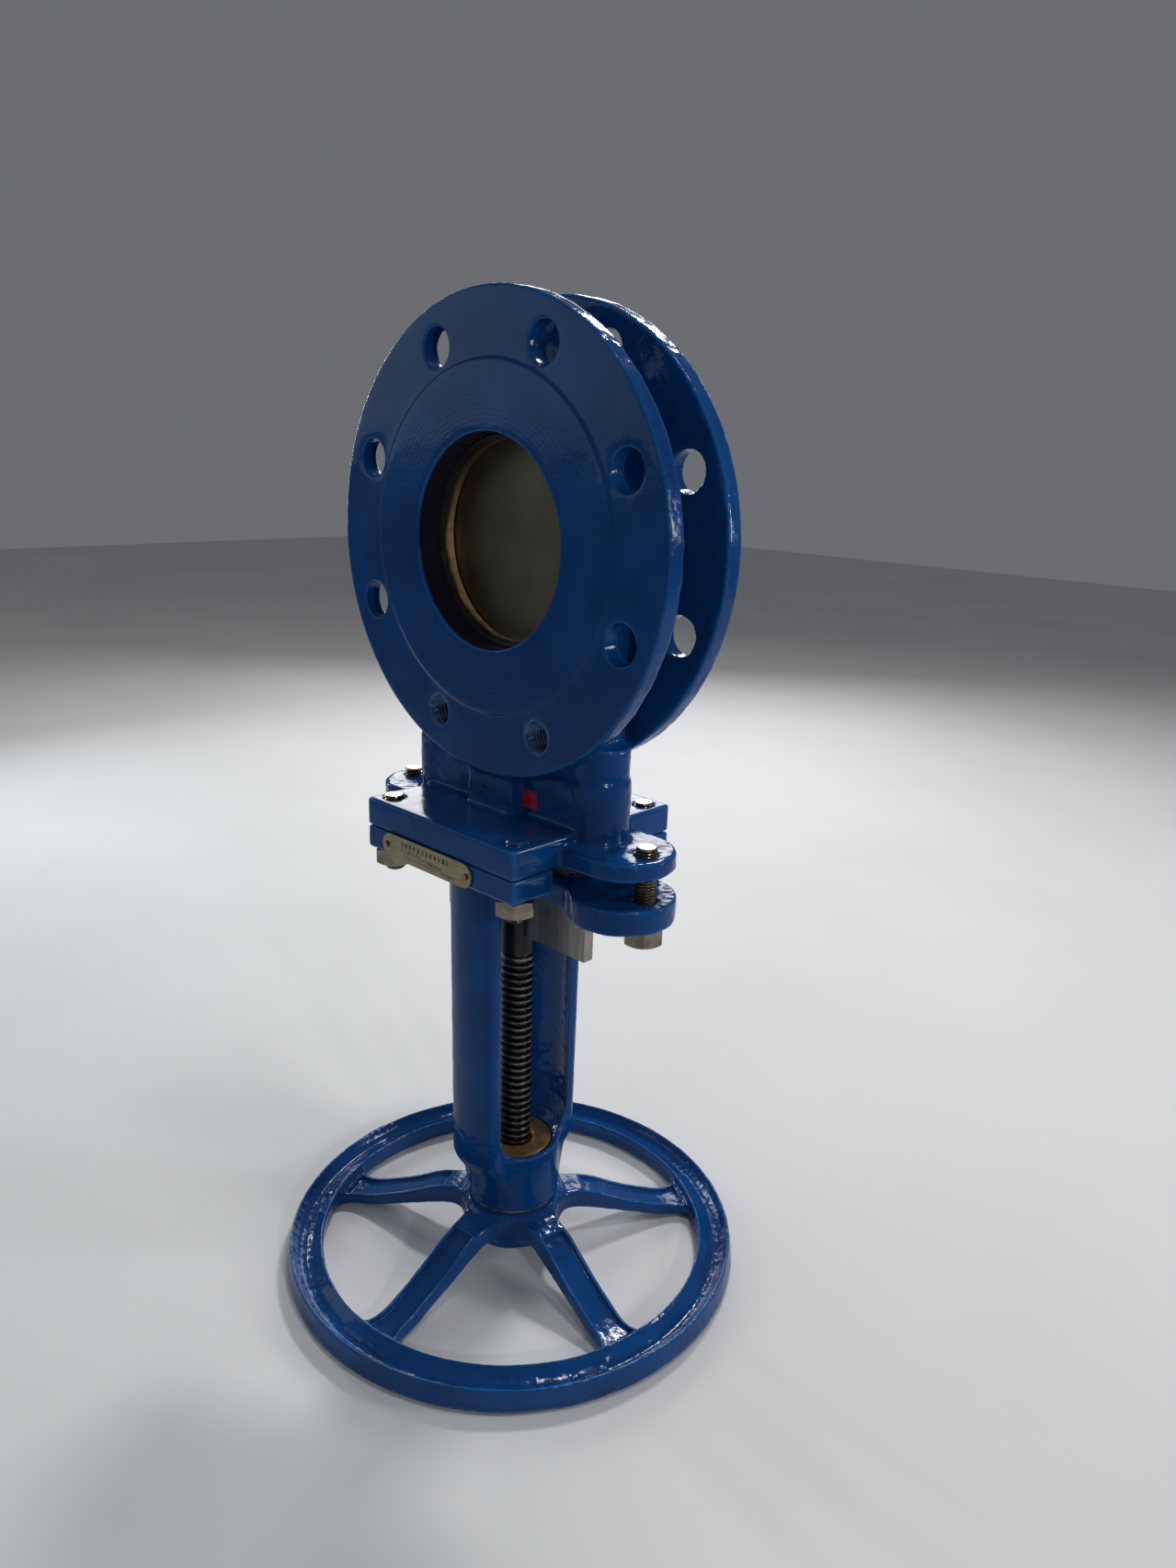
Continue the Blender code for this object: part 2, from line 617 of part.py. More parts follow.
def make_handwheel():
    wheel = add_part("handwheel", turned(rim_profile(), RIM_ROUND, closed=True), (BLUE, 0.25, 0.0))
    join(wheel, rod(HUB_R, HUB_LOW, HUB_TOP, ROUND), "hub")
    for index in range(SPOKE_COUNT):
        spoke = prism_y(spoke_outline(), -SPOKE_HALF_W, SPOKE_HALF_W)
        angle = SPOKE_AZIMUTH + 2 * math.pi * index / SPOKE_COUNT
        spoke.transform(Matrix.Rotation(angle, 4, 'Z'))
        join(wheel, spoke, "spoke_%d" % index)
    cut(wheel, rod(NUT_HUB_R + GAP, HUB_LOW - PASS, HUB_TOP + PASS, ROUND), "bore")
    cut(wheel, rod(HUB_RECESS_R, HUB_LOW - PASS, HUB_RECESS_TOP, ROUND), "nut_recess")
    cut(wheel, key_block(GAP), "keyway")
    add_part("wheel_key", key_block(0.0), (STAINLESS, 0.4, 1.0))
    lock_top = HUB_RECESS_TOP - GAP
    lock = add_part("wheel_lock_nut", prism(hexagon(LOCK_FLAT), lock_top - LOCK_H, lock_top),
                    (ZINC, 0.4, 1.0))
    cut(lock, rod(NUT_THREAD_R + GAP, lock_top - LOCK_H - PASS, lock_top + PASS, STEM_ROUND), "thread_hole")
    return wheel


def make_nameplate():
    y = -PLATE_HALF - GAP
    mid = (NAME_X0 + NAME_X1) / 2
    outline = [(mid + x, NAME_Z + z) for x, z in stadium((NAME_X1 - NAME_X0) / 2, NAME_HALF_H, 8)]
    plate = add_part("nameplate", prism_y(outline, y - NAME_T, y), (BRASS, 0.45, 1.0))
    for x, label in ((NAME_X0 + RIVET_INSET, "left"), (NAME_X1 - RIVET_INSET, "right")):
        cut(plate, rod_y(RIVET_R + RIVET_CLEARANCE, y - PASS, y + PASS, x, NAME_Z), label + "_hole")
        rivet = rod_y(RIVET_R, y - RIVET_HEAD_Y, y + HAIR, x, NAME_Z)
        add_part("nameplate_rivet_" + label, rivet, (ZINC, 0.4, 1.0), (x, y, NAME_Z))


clear_scene()
PARTS = make_collection("knife_gate_valve")
TOOLS = make_collection("cutters")
make_body()
make_seats()
make_gate()
make_packing()
make_gland()
make_gland_bolts()
make_yoke_fasteners()
make_yoke()
make_stem()
make_stem_nut()
make_handwheel()
make_nameplate()
bpy.context.view_layer.update()
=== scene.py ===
"""Looks of the knife gate valve: glossy enamel castings, cut threads, bright fasteners, worn plate.

The castings are modelled as signed distances on a grid, so that their joins have cast fillets and
their rounds are true, and the grid's zero surface becomes the mesh. Metres, in the CAD's frame.
"""

import json
import math

import bmesh
import bpy
import numpy as np
from mathutils import Matrix, Vector


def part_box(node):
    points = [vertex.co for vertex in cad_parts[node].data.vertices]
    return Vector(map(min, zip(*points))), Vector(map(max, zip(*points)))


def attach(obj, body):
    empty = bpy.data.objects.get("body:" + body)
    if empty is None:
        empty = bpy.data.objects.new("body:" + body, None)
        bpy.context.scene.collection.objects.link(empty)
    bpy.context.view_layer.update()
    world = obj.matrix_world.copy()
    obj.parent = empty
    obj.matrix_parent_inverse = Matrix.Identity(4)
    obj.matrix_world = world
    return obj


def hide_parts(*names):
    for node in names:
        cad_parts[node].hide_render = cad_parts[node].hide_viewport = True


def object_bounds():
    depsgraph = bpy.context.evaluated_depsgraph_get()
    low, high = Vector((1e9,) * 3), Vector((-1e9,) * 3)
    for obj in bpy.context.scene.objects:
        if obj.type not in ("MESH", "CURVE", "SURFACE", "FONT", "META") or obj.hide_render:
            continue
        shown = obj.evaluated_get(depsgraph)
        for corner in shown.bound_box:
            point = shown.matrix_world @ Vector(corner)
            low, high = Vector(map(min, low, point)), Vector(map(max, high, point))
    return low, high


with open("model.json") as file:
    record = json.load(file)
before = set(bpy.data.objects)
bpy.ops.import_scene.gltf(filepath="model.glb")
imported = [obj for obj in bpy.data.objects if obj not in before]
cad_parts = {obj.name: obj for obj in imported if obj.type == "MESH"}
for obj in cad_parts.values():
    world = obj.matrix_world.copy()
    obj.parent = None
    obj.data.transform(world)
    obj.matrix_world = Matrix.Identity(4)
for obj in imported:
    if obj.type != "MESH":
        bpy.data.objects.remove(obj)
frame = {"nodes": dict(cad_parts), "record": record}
CAD_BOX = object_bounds()

# Sizes read from the frame
BODY_LOW, BODY_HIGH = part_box("valve_body")
YOKE_LOW, YOKE_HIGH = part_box("yoke")
GLAND_LOW, GLAND_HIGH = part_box("gland")
WHEEL_LOW, WHEEL_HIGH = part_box("handwheel")
STEM_LOW, STEM_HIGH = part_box("stem")
GATE_LOW, GATE_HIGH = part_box("knife_gate")
NUT_LOW, NUT_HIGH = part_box("stem_nut")
LABEL_LOW, LABEL_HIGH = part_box("nameplate")

FLANGE_R = BODY_HIGH.x
BORE_Z = BODY_HIGH.z - FLANGE_R
PLATE_HALF = BODY_HIGH.y
PLATE_LOW = BODY_LOW.z
FACE_Y = frame["record"]["mounts"][1]["pos_m"][1]
RIM_OUT_R = WHEEL_HIGH.x
STEM_R = STEM_HIGH.x

# Valve body
BORE_R = 0.048
RAISED_R = 0.078
FLANGE_Y = 0.0232
FLANGE_BACK_Y = 0.0145
BARREL_R = 0.057
BOLT_CIRCLE_R = 0.09
BOLT_COUNT = 8
BOLT_HOLE_R = 0.009
TAPPED_MAJOR_R = 0.0079
TAPPED_MINOR_R = 0.0069
TAPPED_DEPTH = 0.014
TAPPED_PITCH = 0.002
PLATE_TOP = 0.2575
EAR_TOP = 0.2525
EAR_R = 0.0235
EAR_X = 0.071
CHEST_HALF_W = 0.068
CHEST_HALF_T = 0.013
CHEST_TOP = 0.2975
SHOULDER_HALF_W = 0.056
SHOULDER_TOP = 0.3075
END_BOSS_R = 0.014
END_BOSS_X = 0.0545
END_BOSS_TOP = 0.2825
MID_HALF_W = 0.0155
MID_Y = 0.0205
HOUSING_HALF_W = 0.0605
HOUSING_HALF_T = 0.0095
POCKET_HALF_W = 0.0515
POCKET_HALF_T = 0.0036
BOX_HALF_W = 0.057
BOX_HALF_T = 0.0095
BOX_END_Z = 0.2815

# Gland, yoke and fasteners
GLAND_TOP = 0.2305
GLAND_LOBE_R = 0.025
GLAND_LOBE_X = 0.0705
GLAND_WAIST_HALF = 0.016
GLAND_BOLT_X = 0.084
SLOT_HALF_W = 0.0509
SLOT_HALF_T = 0.0034
CLEAR_R = 0.0053
STUD_X = 0.0445
STUD_Y = 0.043
M10_R = 0.005
M10_PITCH = 0.0015
M10_DEPTH = 0.0008
HEX_FLAT = 0.017
FOOT_LOW = 0.232
FOOT_INNER_Y = 0.0275
LEG_TOP_R = 0.0358
LEG_LOW_R = 0.034
LEG_IN_R = 0.0285
LEG_HALF_W = 0.016
LEG_BEND_Z = 0.0665
NECK_R = 0.0247
NECK_TOP = 0.067
CUP_R = 0.0209
LEG_ROOT_Z = 0.043
LEG_IN_LOW = 0.08
CUP_MOUTH_R = 0.025
CUP_MOUTH_Z = 0.0705
CUP_TOP = 0.0665
CUP_FLOOR = 0.0585
SLEEVE_BORE_R = 0.0143

# Stem thread
STEM_PITCH = 0.004
STEM_THREAD_DEPTH = 0.00215
STEM_THREAD_TOP = 0.1765
LEFT_HAND = -1
RIGHT_HAND = 1

# Handwheel
RIM_IN_R = 0.1034
RIM_CORNER_R = 0.0035
HUB_R = 0.0262
HUB_LOW = 0.0118
HUB_TOP = 0.0325
HUB_RECESS_R = 0.0205
HUB_RECESS_TOP = 0.0215
NUT_HUB_R = 0.0133
NUT_TAIL_R = 0.012
NUT_WHEEL_R = 0.013
NUT_WHEEL_TOP = 0.0328
NUT_SLEEVE_R = 0.014
NUT_FLANGE_LOW = 0.0605
LOCK_NUT_FLAT = 0.032
LOCK_NUT_BORE_R = 0.0123
SPOKE_COUNT = 5
SPOKE_AZIMUTH = math.radians(-10.8)
SPOKE_HALF_W = 0.0088

# Grids, common roundings, and how far a cut runs past the metal
BODY_STEP = 0.00075
YOKE_STEP = 0.0008
WHEEL_STEP = 0.0006
GLAND_STEP = 0.0007
MOST_TRIANGLES = 190000
EDGE_R = 0.0012
FILLET = 0.004
WIDE_FILLET = 0.005
SMALL_FILLET = 0.003
PAST = 0.005


# ---- signed distances

def smooth_least(a, b, blend):
    """The lesser of two distances, with a fillet where they meet."""
    near = np.maximum(blend - np.abs(a - b), 0.0) / blend
    return np.minimum(a, b) - near * near * blend * 0.25


def smooth_most(a, b, blend):
    return -smooth_least(-a, -b, blend)


def rounded(u, v, edge):
    """Joins two distances, both taken from faces moved in by `edge`, round an edge of that radius."""
    outside = np.sqrt(np.maximum(u, 0.0) ** 2 + np.maximum(v, 0.0) ** 2)
    return outside + np.minimum(np.maximum(u, v), 0.0) - edge


class Field:
    """Distances to a casting's surface on a grid; inside the metal they are below zero."""

    def __init__(self, low, high, step):
        margin = 4 * step
        self.step = step
        self.low = np.array(low, float) - margin
        counts = np.ceil((np.array(high, float) + margin - self.low) / step).astype(int) + 1
        self.axes = [self.low[i] + step * np.arange(counts[i]) for i in range(3)]
        self.values = np.full(counts, 1.0, np.float32)

    def change(self, shape, blend, join):
        """Joins a shape to the field, on the part of the grid near the shape's box."""
        distance, low, high = shape
        reach = blend + 3 * self.step
        spans = []
        for axis, bottom, top in zip(self.axes, low, high):
            start, stop = np.searchsorted(axis, (bottom - reach, top + reach))
            spans.append(slice(start, max(stop, start + 1)))
        place = np.ix_(*(axis[span].astype(np.float32) for axis, span in zip(self.axes, spans)))
        spans = tuple(spans)
        self.values[spans] = join(self.values[spans], distance(*place), blend)

    def add(self, shape, blend=0.002):
        self.change(shape, blend, smooth_least)

    def cut(self, shape, blend=0.0008):
        self.change(shape, blend, lambda old, new, blend: smooth_most(old, -new, blend))


def block(low, high, edge=EDGE_R):
    middle = [(low[i] + high[i]) / 2 for i in range(3)]
    half = [(high[i] - low[i]) / 2 - edge for i in range(3)]

    def distance(x, y, z):
        a = np.abs(x - middle[0]) - half[0]
        b = np.abs(y - middle[1]) - half[1]
        c = np.abs(z - middle[2]) - half[2]
        outside = np.sqrt(np.maximum(a, 0) ** 2 + np.maximum(b, 0) ** 2 + np.maximum(c, 0) ** 2)
        return outside + np.minimum(np.maximum(np.maximum(a, b), c), 0) - edge
    return distance, low, high


def slab(outline, axis, low, high, edge):
    """A shape with one outline all the way along an axis, and flat ends at its box's two sides."""
    middle, half = (low[axis] + high[axis]) / 2, (high[axis] - low[axis]) / 2

    def distance(*place):
        return rounded(outline(*place) + edge, np.abs(place[axis] - middle) - half + edge, edge)
    return distance, low, high


def bar_z(radius, low, high, centre=(0.0, 0.0), edge=EDGE_R):
    """A round bar along Z."""
    x0, y0 = centre

    def outline(x, y, z):
        return np.sqrt((x - x0) ** 2 + (y - y0) ** 2) - radius
    return slab(outline, 2, (x0 - radius, y0 - radius, low), (x0 + radius, y0 + radius, high), edge)


def bar_y(radius, near, far, x0=0.0, z0=BORE_Z, edge=EDGE_R):
    """A round bar along the pipe."""
    def outline(x, y, z):
        return np.sqrt((x - x0) ** 2 + (z - z0) ** 2) - radius
    return slab(outline, 1, (x0 - radius, near, z0 - radius), (x0 + radius, far, z0 + radius), edge)


def pill(half_length, radius, low, high, edge=EDGE_R):
    """An upright slab with round ends, lying across the valve."""
    def outline(x, y, z):
        return np.sqrt(np.maximum(np.abs(x) - (half_length - radius), 0.0) ** 2 + y ** 2) - radius
    return slab(outline, 2, (-half_length, -radius, low), (half_length, radius, high), edge)


def arch(half_w, half_t, low):
    """A flat slab that is round over the pipe axis and straight down to `low`."""
    def outline(x, y, z):
        return np.maximum(np.sqrt(x ** 2 + np.maximum(z - BORE_Z, 0.0) ** 2) - half_w, low - z)
    return slab(outline, 1, (-half_w, -half_t, low), (half_w, half_t, BORE_Z + half_w), EDGE_R)


def polygon_distance(points, u, v):
    """Signed distance in a plane to an outline of straight sides."""
    u, v = np.broadcast_arrays(u, v)
    nearest = np.full(u.shape, 1e9, np.float32)
    sign = np.ones(u.shape, np.float32)
    for (x0, y0), (x1, y1) in zip(points, points[1:] + points[:1]):
        ex, ey = x1 - x0, y1 - y0
        along = np.clip(((u - x0) * ex + (v - y0) * ey) / (ex * ex + ey * ey), 0, 1)
        nearest = np.minimum(nearest, (u - x0 - ex * along) ** 2 + (v - y0 - ey * along) ** 2)
        rising = (v >= y0) & (v < y1)
        falling = (v >= y1) & (v < y0)
        left = ex * (v - y0) - ey * (u - x0)
        sign = np.where((rising & (left > 0)) | (falling & (left < 0)), -sign, sign)
    return np.sqrt(nearest) * sign


def turned(points, limit=None):
    """A closed (radius, height) outline turned about the stem axis, read from a table by radius."""
    radius = max(r for r, _ in points)
    heights = [h for _, h in points]
    row = 0.0003

    def distance(x, y, z):
        rho = np.sqrt(x ** 2 + y ** 2)[:, :, 0]
        radii = np.arange(0, rho.max() + 2 * row, row)[:, None]
        table = polygon_distance(points, radii, z[0, 0][None, :]).astype(np.float32)
        place = rho / row
        index = place.astype(int)
        share = (place - index)[:, :, None]
        result = table[index] * (1 - share) + table[index + 1] * share
        return result if limit is None else smooth_most(result, limit(x, y, z), SMALL_FILLET)
    return distance, (-radius, -radius, min(heights)), (radius, radius, max(heights))


# ---- surface of a field

def surface_points(values):
    """One point in each grid cell that the surface crosses, and the four cells round each crossing."""
    shape = values.shape
    inside = values < 0
    keys, places, quads = [], [], []
    for axis in range(3):
        near = [slice(None)] * 3
        far = [slice(None)] * 3
        near[axis], far[axis] = slice(None, -1), slice(1, None)
        near, far = tuple(near), tuple(far)
        found = np.argwhere(inside[near] != inside[far])
        other = [a for a in range(3) if a != axis]
        edge_free = np.all([(found[:, a] > 0) & (found[:, a] < shape[a] - 1) for a in other], axis=0)
        found = found[edge_free]
        at = tuple(found.T)
        a, b = values[near][at], values[far][at]
        point = found.astype(float)
        point[:, axis] += a / (a - b)
        ring = []
        for du, dv in ((0, 0), (-1, 0), (-1, -1), (0, -1)):
            cell = found.copy()
            cell[:, other[0]] += du
            cell[:, other[1]] += dv
            ring.append((cell[:, 0] * (shape[1] - 1) + cell[:, 1]) * (shape[2] - 1) + cell[:, 2])
            keys.append(ring[-1])
            places.append(point)
        ring = np.stack(ring, 1)
        flip = inside[near][at] == (axis == 1)
        ring[flip] = ring[flip][:, ::-1]
        quads.append(ring)
    return np.concatenate(keys), np.concatenate(places), np.concatenate(quads)


def sums(numbers, rows, count):
    """Adds up the rows that have the same number, for each number below `count`."""
    return np.stack([np.bincount(numbers, rows[:, i], count) for i in range(3)], 1)


def surface_mesh(field):
    """The zero surface of a field as a mesh of quads."""
    keys, places, quads = surface_points(field.values)
    cells, number = np.unique(keys, return_inverse=True)
    points = sums(number, places, len(cells)) / np.bincount(number)[:, None]
    faces = np.searchsorted(cells, quads)
    points = field.low + points * field.step
    return relax(points, faces), faces


def relax(points, faces):
    """Evens out the grid's small steps by moving each point half way to its neighbours' middle."""
    a = faces.ravel()
    b = np.roll(faces, -1, axis=1).ravel()
    count = np.bincount(a, minlength=len(points)) + np.bincount(b, minlength=len(points))
    moved = (sums(a, points[b], len(points)) + sums(b, points[a], len(points))) / count[:, None]
    return points + 0.5 * (moved - points)


def point_normals(points, faces):
    across = np.cross(points[faces[:, 2]] - points[faces[:, 0]], points[faces[:, 3]] - points[faces[:, 1]])
    normals = sum(sums(faces[:, corner], across, len(points)) for corner in range(4))
    return normals / np.maximum(np.linalg.norm(normals, axis=1, keepdims=True), 1e-12)


def cast_waves(points, size, seed):
    """A smooth random swell over the surface, about -1 to 1, with waves about `size` long."""
    random = np.random.default_rng(seed)
    total = np.zeros(len(points))
    waves = 14
    for _ in range(waves):
        direction = random.normal(size=3)
        direction /= np.linalg.norm(direction)
        turns = 2 * math.pi / (size * random.uniform(0.7, 1.5))
        total += np.sin(points @ direction * turns + random.uniform(0, 2 * math.pi))
    return total / math.sqrt(waves)


def add_object(name, data):
    made = bpy.data.objects.new(name, data)
    bpy.context.scene.collection.objects.link(made)
    return made


def stand_in(piece, body, nodes):
    """Says which body a piece rides on, which CAD nodes it stands for."""
    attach(piece, body)
    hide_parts(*nodes)
    return piece


def make_piece(name, points, faces):
    mesh = bpy.data.meshes.new(name)
    mesh.vertices.add(len(points))
    mesh.vertices.foreach_set("co", points.astype(np.float32).ravel())
    mesh.loops.add(faces.size)
    mesh.loops.foreach_set("vertex_index", faces.astype(np.int32).ravel())
    mesh.polygons.add(len(faces))
    mesh.polygons.foreach_set("loop_start", np.arange(0, faces.size, faces.shape[1], dtype=np.int32))
    mesh.update(calc_edges=True)
    mesh.validate()
    return add_object(name, mesh)


def thin_out(piece):
    """Joins faces where the surface is nearly flat, down to MOST_TRIANGLES."""
    triangles = 2 * len(piece.data.polygons)
    if triangles > MOST_TRIANGLES:
        piece.modifiers.new("fewer", 'DECIMATE').ratio = MOST_TRIANGLES / triangles
        bake_modifiers(piece)


def bake_modifiers(piece):
    graph = bpy.context.evaluated_depsgraph_get()
    mesh = bpy.data.meshes.new_from_object(piece.evaluated_get(graph))
    piece.modifiers.clear()
    piece.data = mesh


def cast_piece(name, field, body, node, seed, rough, local=lambda points: 1.0):
    """A casting's mesh from its field, with the slight swell of a sand casting under thick paint.

    `rough` scales the swell everywhere and `local` from place to place.
    """
    points, faces = surface_mesh(field)
    normals = point_normals(points, faces)
    long_swell, short_swell = 0.00014, 0.00007
    swell = long_swell * cast_waves(points, 0.014, seed) + short_swell * cast_waves(points, 0.0045, seed + 1)
    swell = swell * rough * local(points)
    low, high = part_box(node)
    piece = make_piece(name, np.clip(points + normals * swell[:, None], low, high), faces)
    thin_out(piece)
    piece.data.shade_smooth()
    return stand_in(piece, body, [node])


# ---- castings

def flange_holes():
    """X, Z and whether each bolt hole is one of the two blind tapped ones over the chest."""
    for index in range(BOLT_COUNT):
        angle = math.radians((index + 0.5) * 360 / BOLT_COUNT)
        x = BOLT_CIRCLE_R * math.cos(angle)
        z = BORE_Z + BOLT_CIRCLE_R * math.sin(angle)
        yield x, z, math.sin(angle) < -0.9


def stud_places():
    for x, x_label in ((-STUD_X, "left"), (STUD_X, "right")):
        for y, y_label in ((-STUD_Y, "front"), (STUD_Y, "rear")):
            yield x, y, y_label + "_" + x_label


def add_body_outside(field):
    """The body's solid shapes; those on the neck plate start at different heights inside it."""
    field.add(arch(HOUSING_HALF_W, HOUSING_HALF_T, PLATE_LOW + 0.001))
    field.add(bar_y(BARREL_R, -FLANGE_BACK_Y - 0.001, FLANGE_BACK_Y + 0.001), FILLET)
    field.add(pill(CHEST_HALF_W, CHEST_HALF_T, PLATE_LOW + 0.002, CHEST_TOP), FILLET)
    for half, top in ((SHOULDER_HALF_W, CHEST_TOP), (SHOULDER_HALF_W - 0.007, SHOULDER_TOP)):
        field.add(block((-half, -FLANGE_BACK_Y - 0.001, END_BOSS_TOP), (half, FLANGE_BACK_Y + 0.001, top),
                        0.003), FILLET)
    for side in (-1, 1):
        plate = sorted((side * FLANGE_BACK_Y, side * FLANGE_Y))
        face = sorted((side * (FLANGE_BACK_Y + 0.002), side * FACE_Y))
        field.add(bar_y(FLANGE_R, *plate, edge=0.0007), FILLET)
        field.add(bar_y(RAISED_R, *face, edge=0.0004), 0.0006)
        field.add(bar_z(END_BOSS_R, PLATE_LOW + 0.003, END_BOSS_TOP, (side * END_BOSS_X, 0), 0.002), 0.0015)
    field.add(block((-MID_HALF_W, -MID_Y, PLATE_LOW + 0.004),
                    (MID_HALF_W, MID_Y, CHEST_TOP + 0.005), 0.002), 0.0025)
    field.add(pill(EAR_X + EAR_R, EAR_R, PLATE_LOW + 0.0002, EAR_TOP, 0.0018), SMALL_FILLET)
    field.add(block((-PLATE_HALF, -PLATE_HALF, PLATE_LOW), (PLATE_HALF, PLATE_HALF, PLATE_TOP)), SMALL_FILLET)


def cut_body_inside(field):
    through = FACE_Y + PAST
    field.cut(bar_y(BORE_R, -through, through))
    field.cut(arch(POCKET_HALF_W, POCKET_HALF_T, PLATE_LOW - 0.006))
    field.cut(pill(BOX_HALF_W, BOX_HALF_T, PLATE_LOW - PAST, BOX_END_Z))
    for x, z, tapped in flange_holes():
        for side in (-1, 1):
            inner = FLANGE_Y - TAPPED_DEPTH if tapped else FLANGE_BACK_Y - 0.003
            radius = TAPPED_MAJOR_R + 0.0003 if tapped else BOLT_HOLE_R
            near, far = sorted((side * inner, side * through))
            field.cut(bar_y(radius, near, far, x, z), 0.0006)
    for side in (-1, 1):
        field.cut(bar_z(CLEAR_R, PLATE_LOW - PAST, EAR_TOP + PAST, (side * GLAND_BOLT_X, 0)))
    for x, y, _ in stud_places():
        field.cut(bar_z(CLEAR_R, PLATE_LOW - PAST, PLATE_TOP + PAST, (x, y)))


def calm_on_faces(points):
    """The flange faces are turned flat, so a tenth of the casting's swell is left on them."""
    return np.where(np.abs(points[:, 1]) > FLANGE_Y - 0.0008, 0.1, 1.0)


def make_body():
    field = Field(BODY_LOW, BODY_HIGH, BODY_STEP)
    add_body_outside(field)
    cut_body_inside(field)
    return cast_piece("body_casting", field, "frame", "valve_body", 11, 1.0, calm_on_faces)


def arc(centre, radius, start, end, count):
    angles = [math.radians(start + (end - start) * step / count) for step in range(count + 1)]
    return [(centre[0] + radius * math.cos(a), centre[1] + radius * math.sin(a)) for a in angles]


def rough_inside(points):
    """The legs' inner sides are left as cast, twice as rough as their outsides."""
    radius = np.hypot(points[:, 0], points[:, 1])
    between = (points[:, 2] > NECK_TOP) & (points[:, 2] < FOOT_LOW)
    return np.where(between & (radius < LEG_IN_R + 0.001), 2.0, 1.0)


def make_yoke():
    foot_top, neck_low = YOKE_HIGH.z, YOKE_LOW.z
    field = Field(YOKE_LOW, YOKE_HIGH, YOKE_STEP)
    bend_r = NECK_R - 0.0005
    outline = ([(-0.01, foot_top - 0.001), (LEG_TOP_R, foot_top - 0.001)]
               + arc((bend_r, LEG_BEND_Z), LEG_LOW_R - bend_r, 0, -62, 10)
               + [(NECK_R - 0.001, LEG_ROOT_Z), (-0.01, LEG_ROOT_Z)])
    field.add(turned(outline, lambda x, y, z: np.abs(x) - LEG_HALF_W))
    field.add(bar_z(NECK_R, neck_low, NECK_TOP), WIDE_FILLET)
    for side in (-1, 1):
        near, far = sorted((side * FOOT_INNER_Y, side * PLATE_HALF))
        field.add(block((-PLATE_HALF, near, FOOT_LOW), (PLATE_HALF, far, foot_top)), WIDE_FILLET)
    inside = [(-0.01, foot_top + PAST), (LEG_IN_R, foot_top + PAST), (LEG_IN_R, LEG_IN_LOW),
              (CUP_MOUTH_R, CUP_MOUTH_Z), (CUP_R, CUP_TOP), (CUP_R, CUP_FLOOR), (SLEEVE_BORE_R, CUP_FLOOR),
              (SLEEVE_BORE_R, neck_low - PAST), (-0.01, neck_low - PAST)]
    field.cut(turned(inside), 0.0018)
    for x, y, _ in stud_places():
        field.cut(bar_z(CLEAR_R, FOOT_LOW - PAST, foot_top + PAST, (x, y)))
    return cast_piece("yoke_casting", field, "frame", "yoke", 23, 0.35, rough_inside)


def make_gland():
    low, top = GLAND_LOW.z, GLAND_HIGH.z
    field = Field(GLAND_LOW, GLAND_HIGH, GLAND_STEP)
    field.add(block((-GLAND_LOBE_X, -GLAND_WAIST_HALF, low), (GLAND_LOBE_X, GLAND_WAIST_HALF, GLAND_TOP),
                    0.0013))
    for side in (-1, 1):
        field.add(bar_z(GLAND_LOBE_R, low, GLAND_TOP, (side * GLAND_LOBE_X, 0), 0.0013), FILLET)
    field.add(pill(BOX_HALF_W - 0.0006, BOX_HALF_T - 0.0006, GLAND_TOP - 0.004, top, 0.0008), 0.002)
    field.cut(block((-SLOT_HALF_W, -SLOT_HALF_T, low - PAST), (SLOT_HALF_W, SLOT_HALF_T, top + PAST),
                    0.0005))
    for side in (-1, 1):
        field.cut(bar_z(CLEAR_R, low - PAST, GLAND_TOP + PAST, (side * GLAND_BOLT_X, 0)))
    return cast_piece("gland_casting", field, "frame", "gland", 37, 0.9)


def rim_outline():
    """The rim's section: a dished channel between two sharp crests, rounded where it stands."""
    inner_crest = [(RIM_IN_R, 0.0104), (RIM_IN_R + 0.0009, 0.0118)]
    trough = [(RIM_IN_R + 0.0022, 0.0104), (RIM_IN_R + 0.006, 0.0076), (RIM_IN_R + 0.0088, 0.0064),
              (RIM_OUT_R - 0.0076, 0.0066), (RIM_OUT_R - 0.005, 0.0086), (RIM_OUT_R - 0.0036, 0.0112)]
    outer_crest = [(RIM_OUT_R - 0.0027, 0.0131), (RIM_OUT_R - 0.0017, 0.0123)]
    outside = arc((RIM_OUT_R - RIM_CORNER_R, RIM_CORNER_R), RIM_CORNER_R, 0, -90, 8)
    inside = arc((RIM_IN_R + RIM_CORNER_R, RIM_CORNER_R), RIM_CORNER_R, -90, -180, 8)
    return inner_crest + trough + outer_crest + outside + inside


SPOKE_TOP = ((0.02, 0.0295), (0.034, 0.0292), (0.045, 0.0268), (0.066, 0.0166), (0.088, 0.0088),
             (0.108, 0.0068))
SPOKE_BOTTOM = ((0.02, 0.019), (0.034, 0.0185), (0.048, 0.0145), (0.088, 0.0018), (0.108, 0.0012))


def soft_line(points, radius):
    """Heights along a spoke, with its knees eased over a few millimetres."""
    distance, height = zip(*points)
    return sum(np.interp(radius + shift, distance, height) for shift in (-0.004, 0.0, 0.004)) / 3


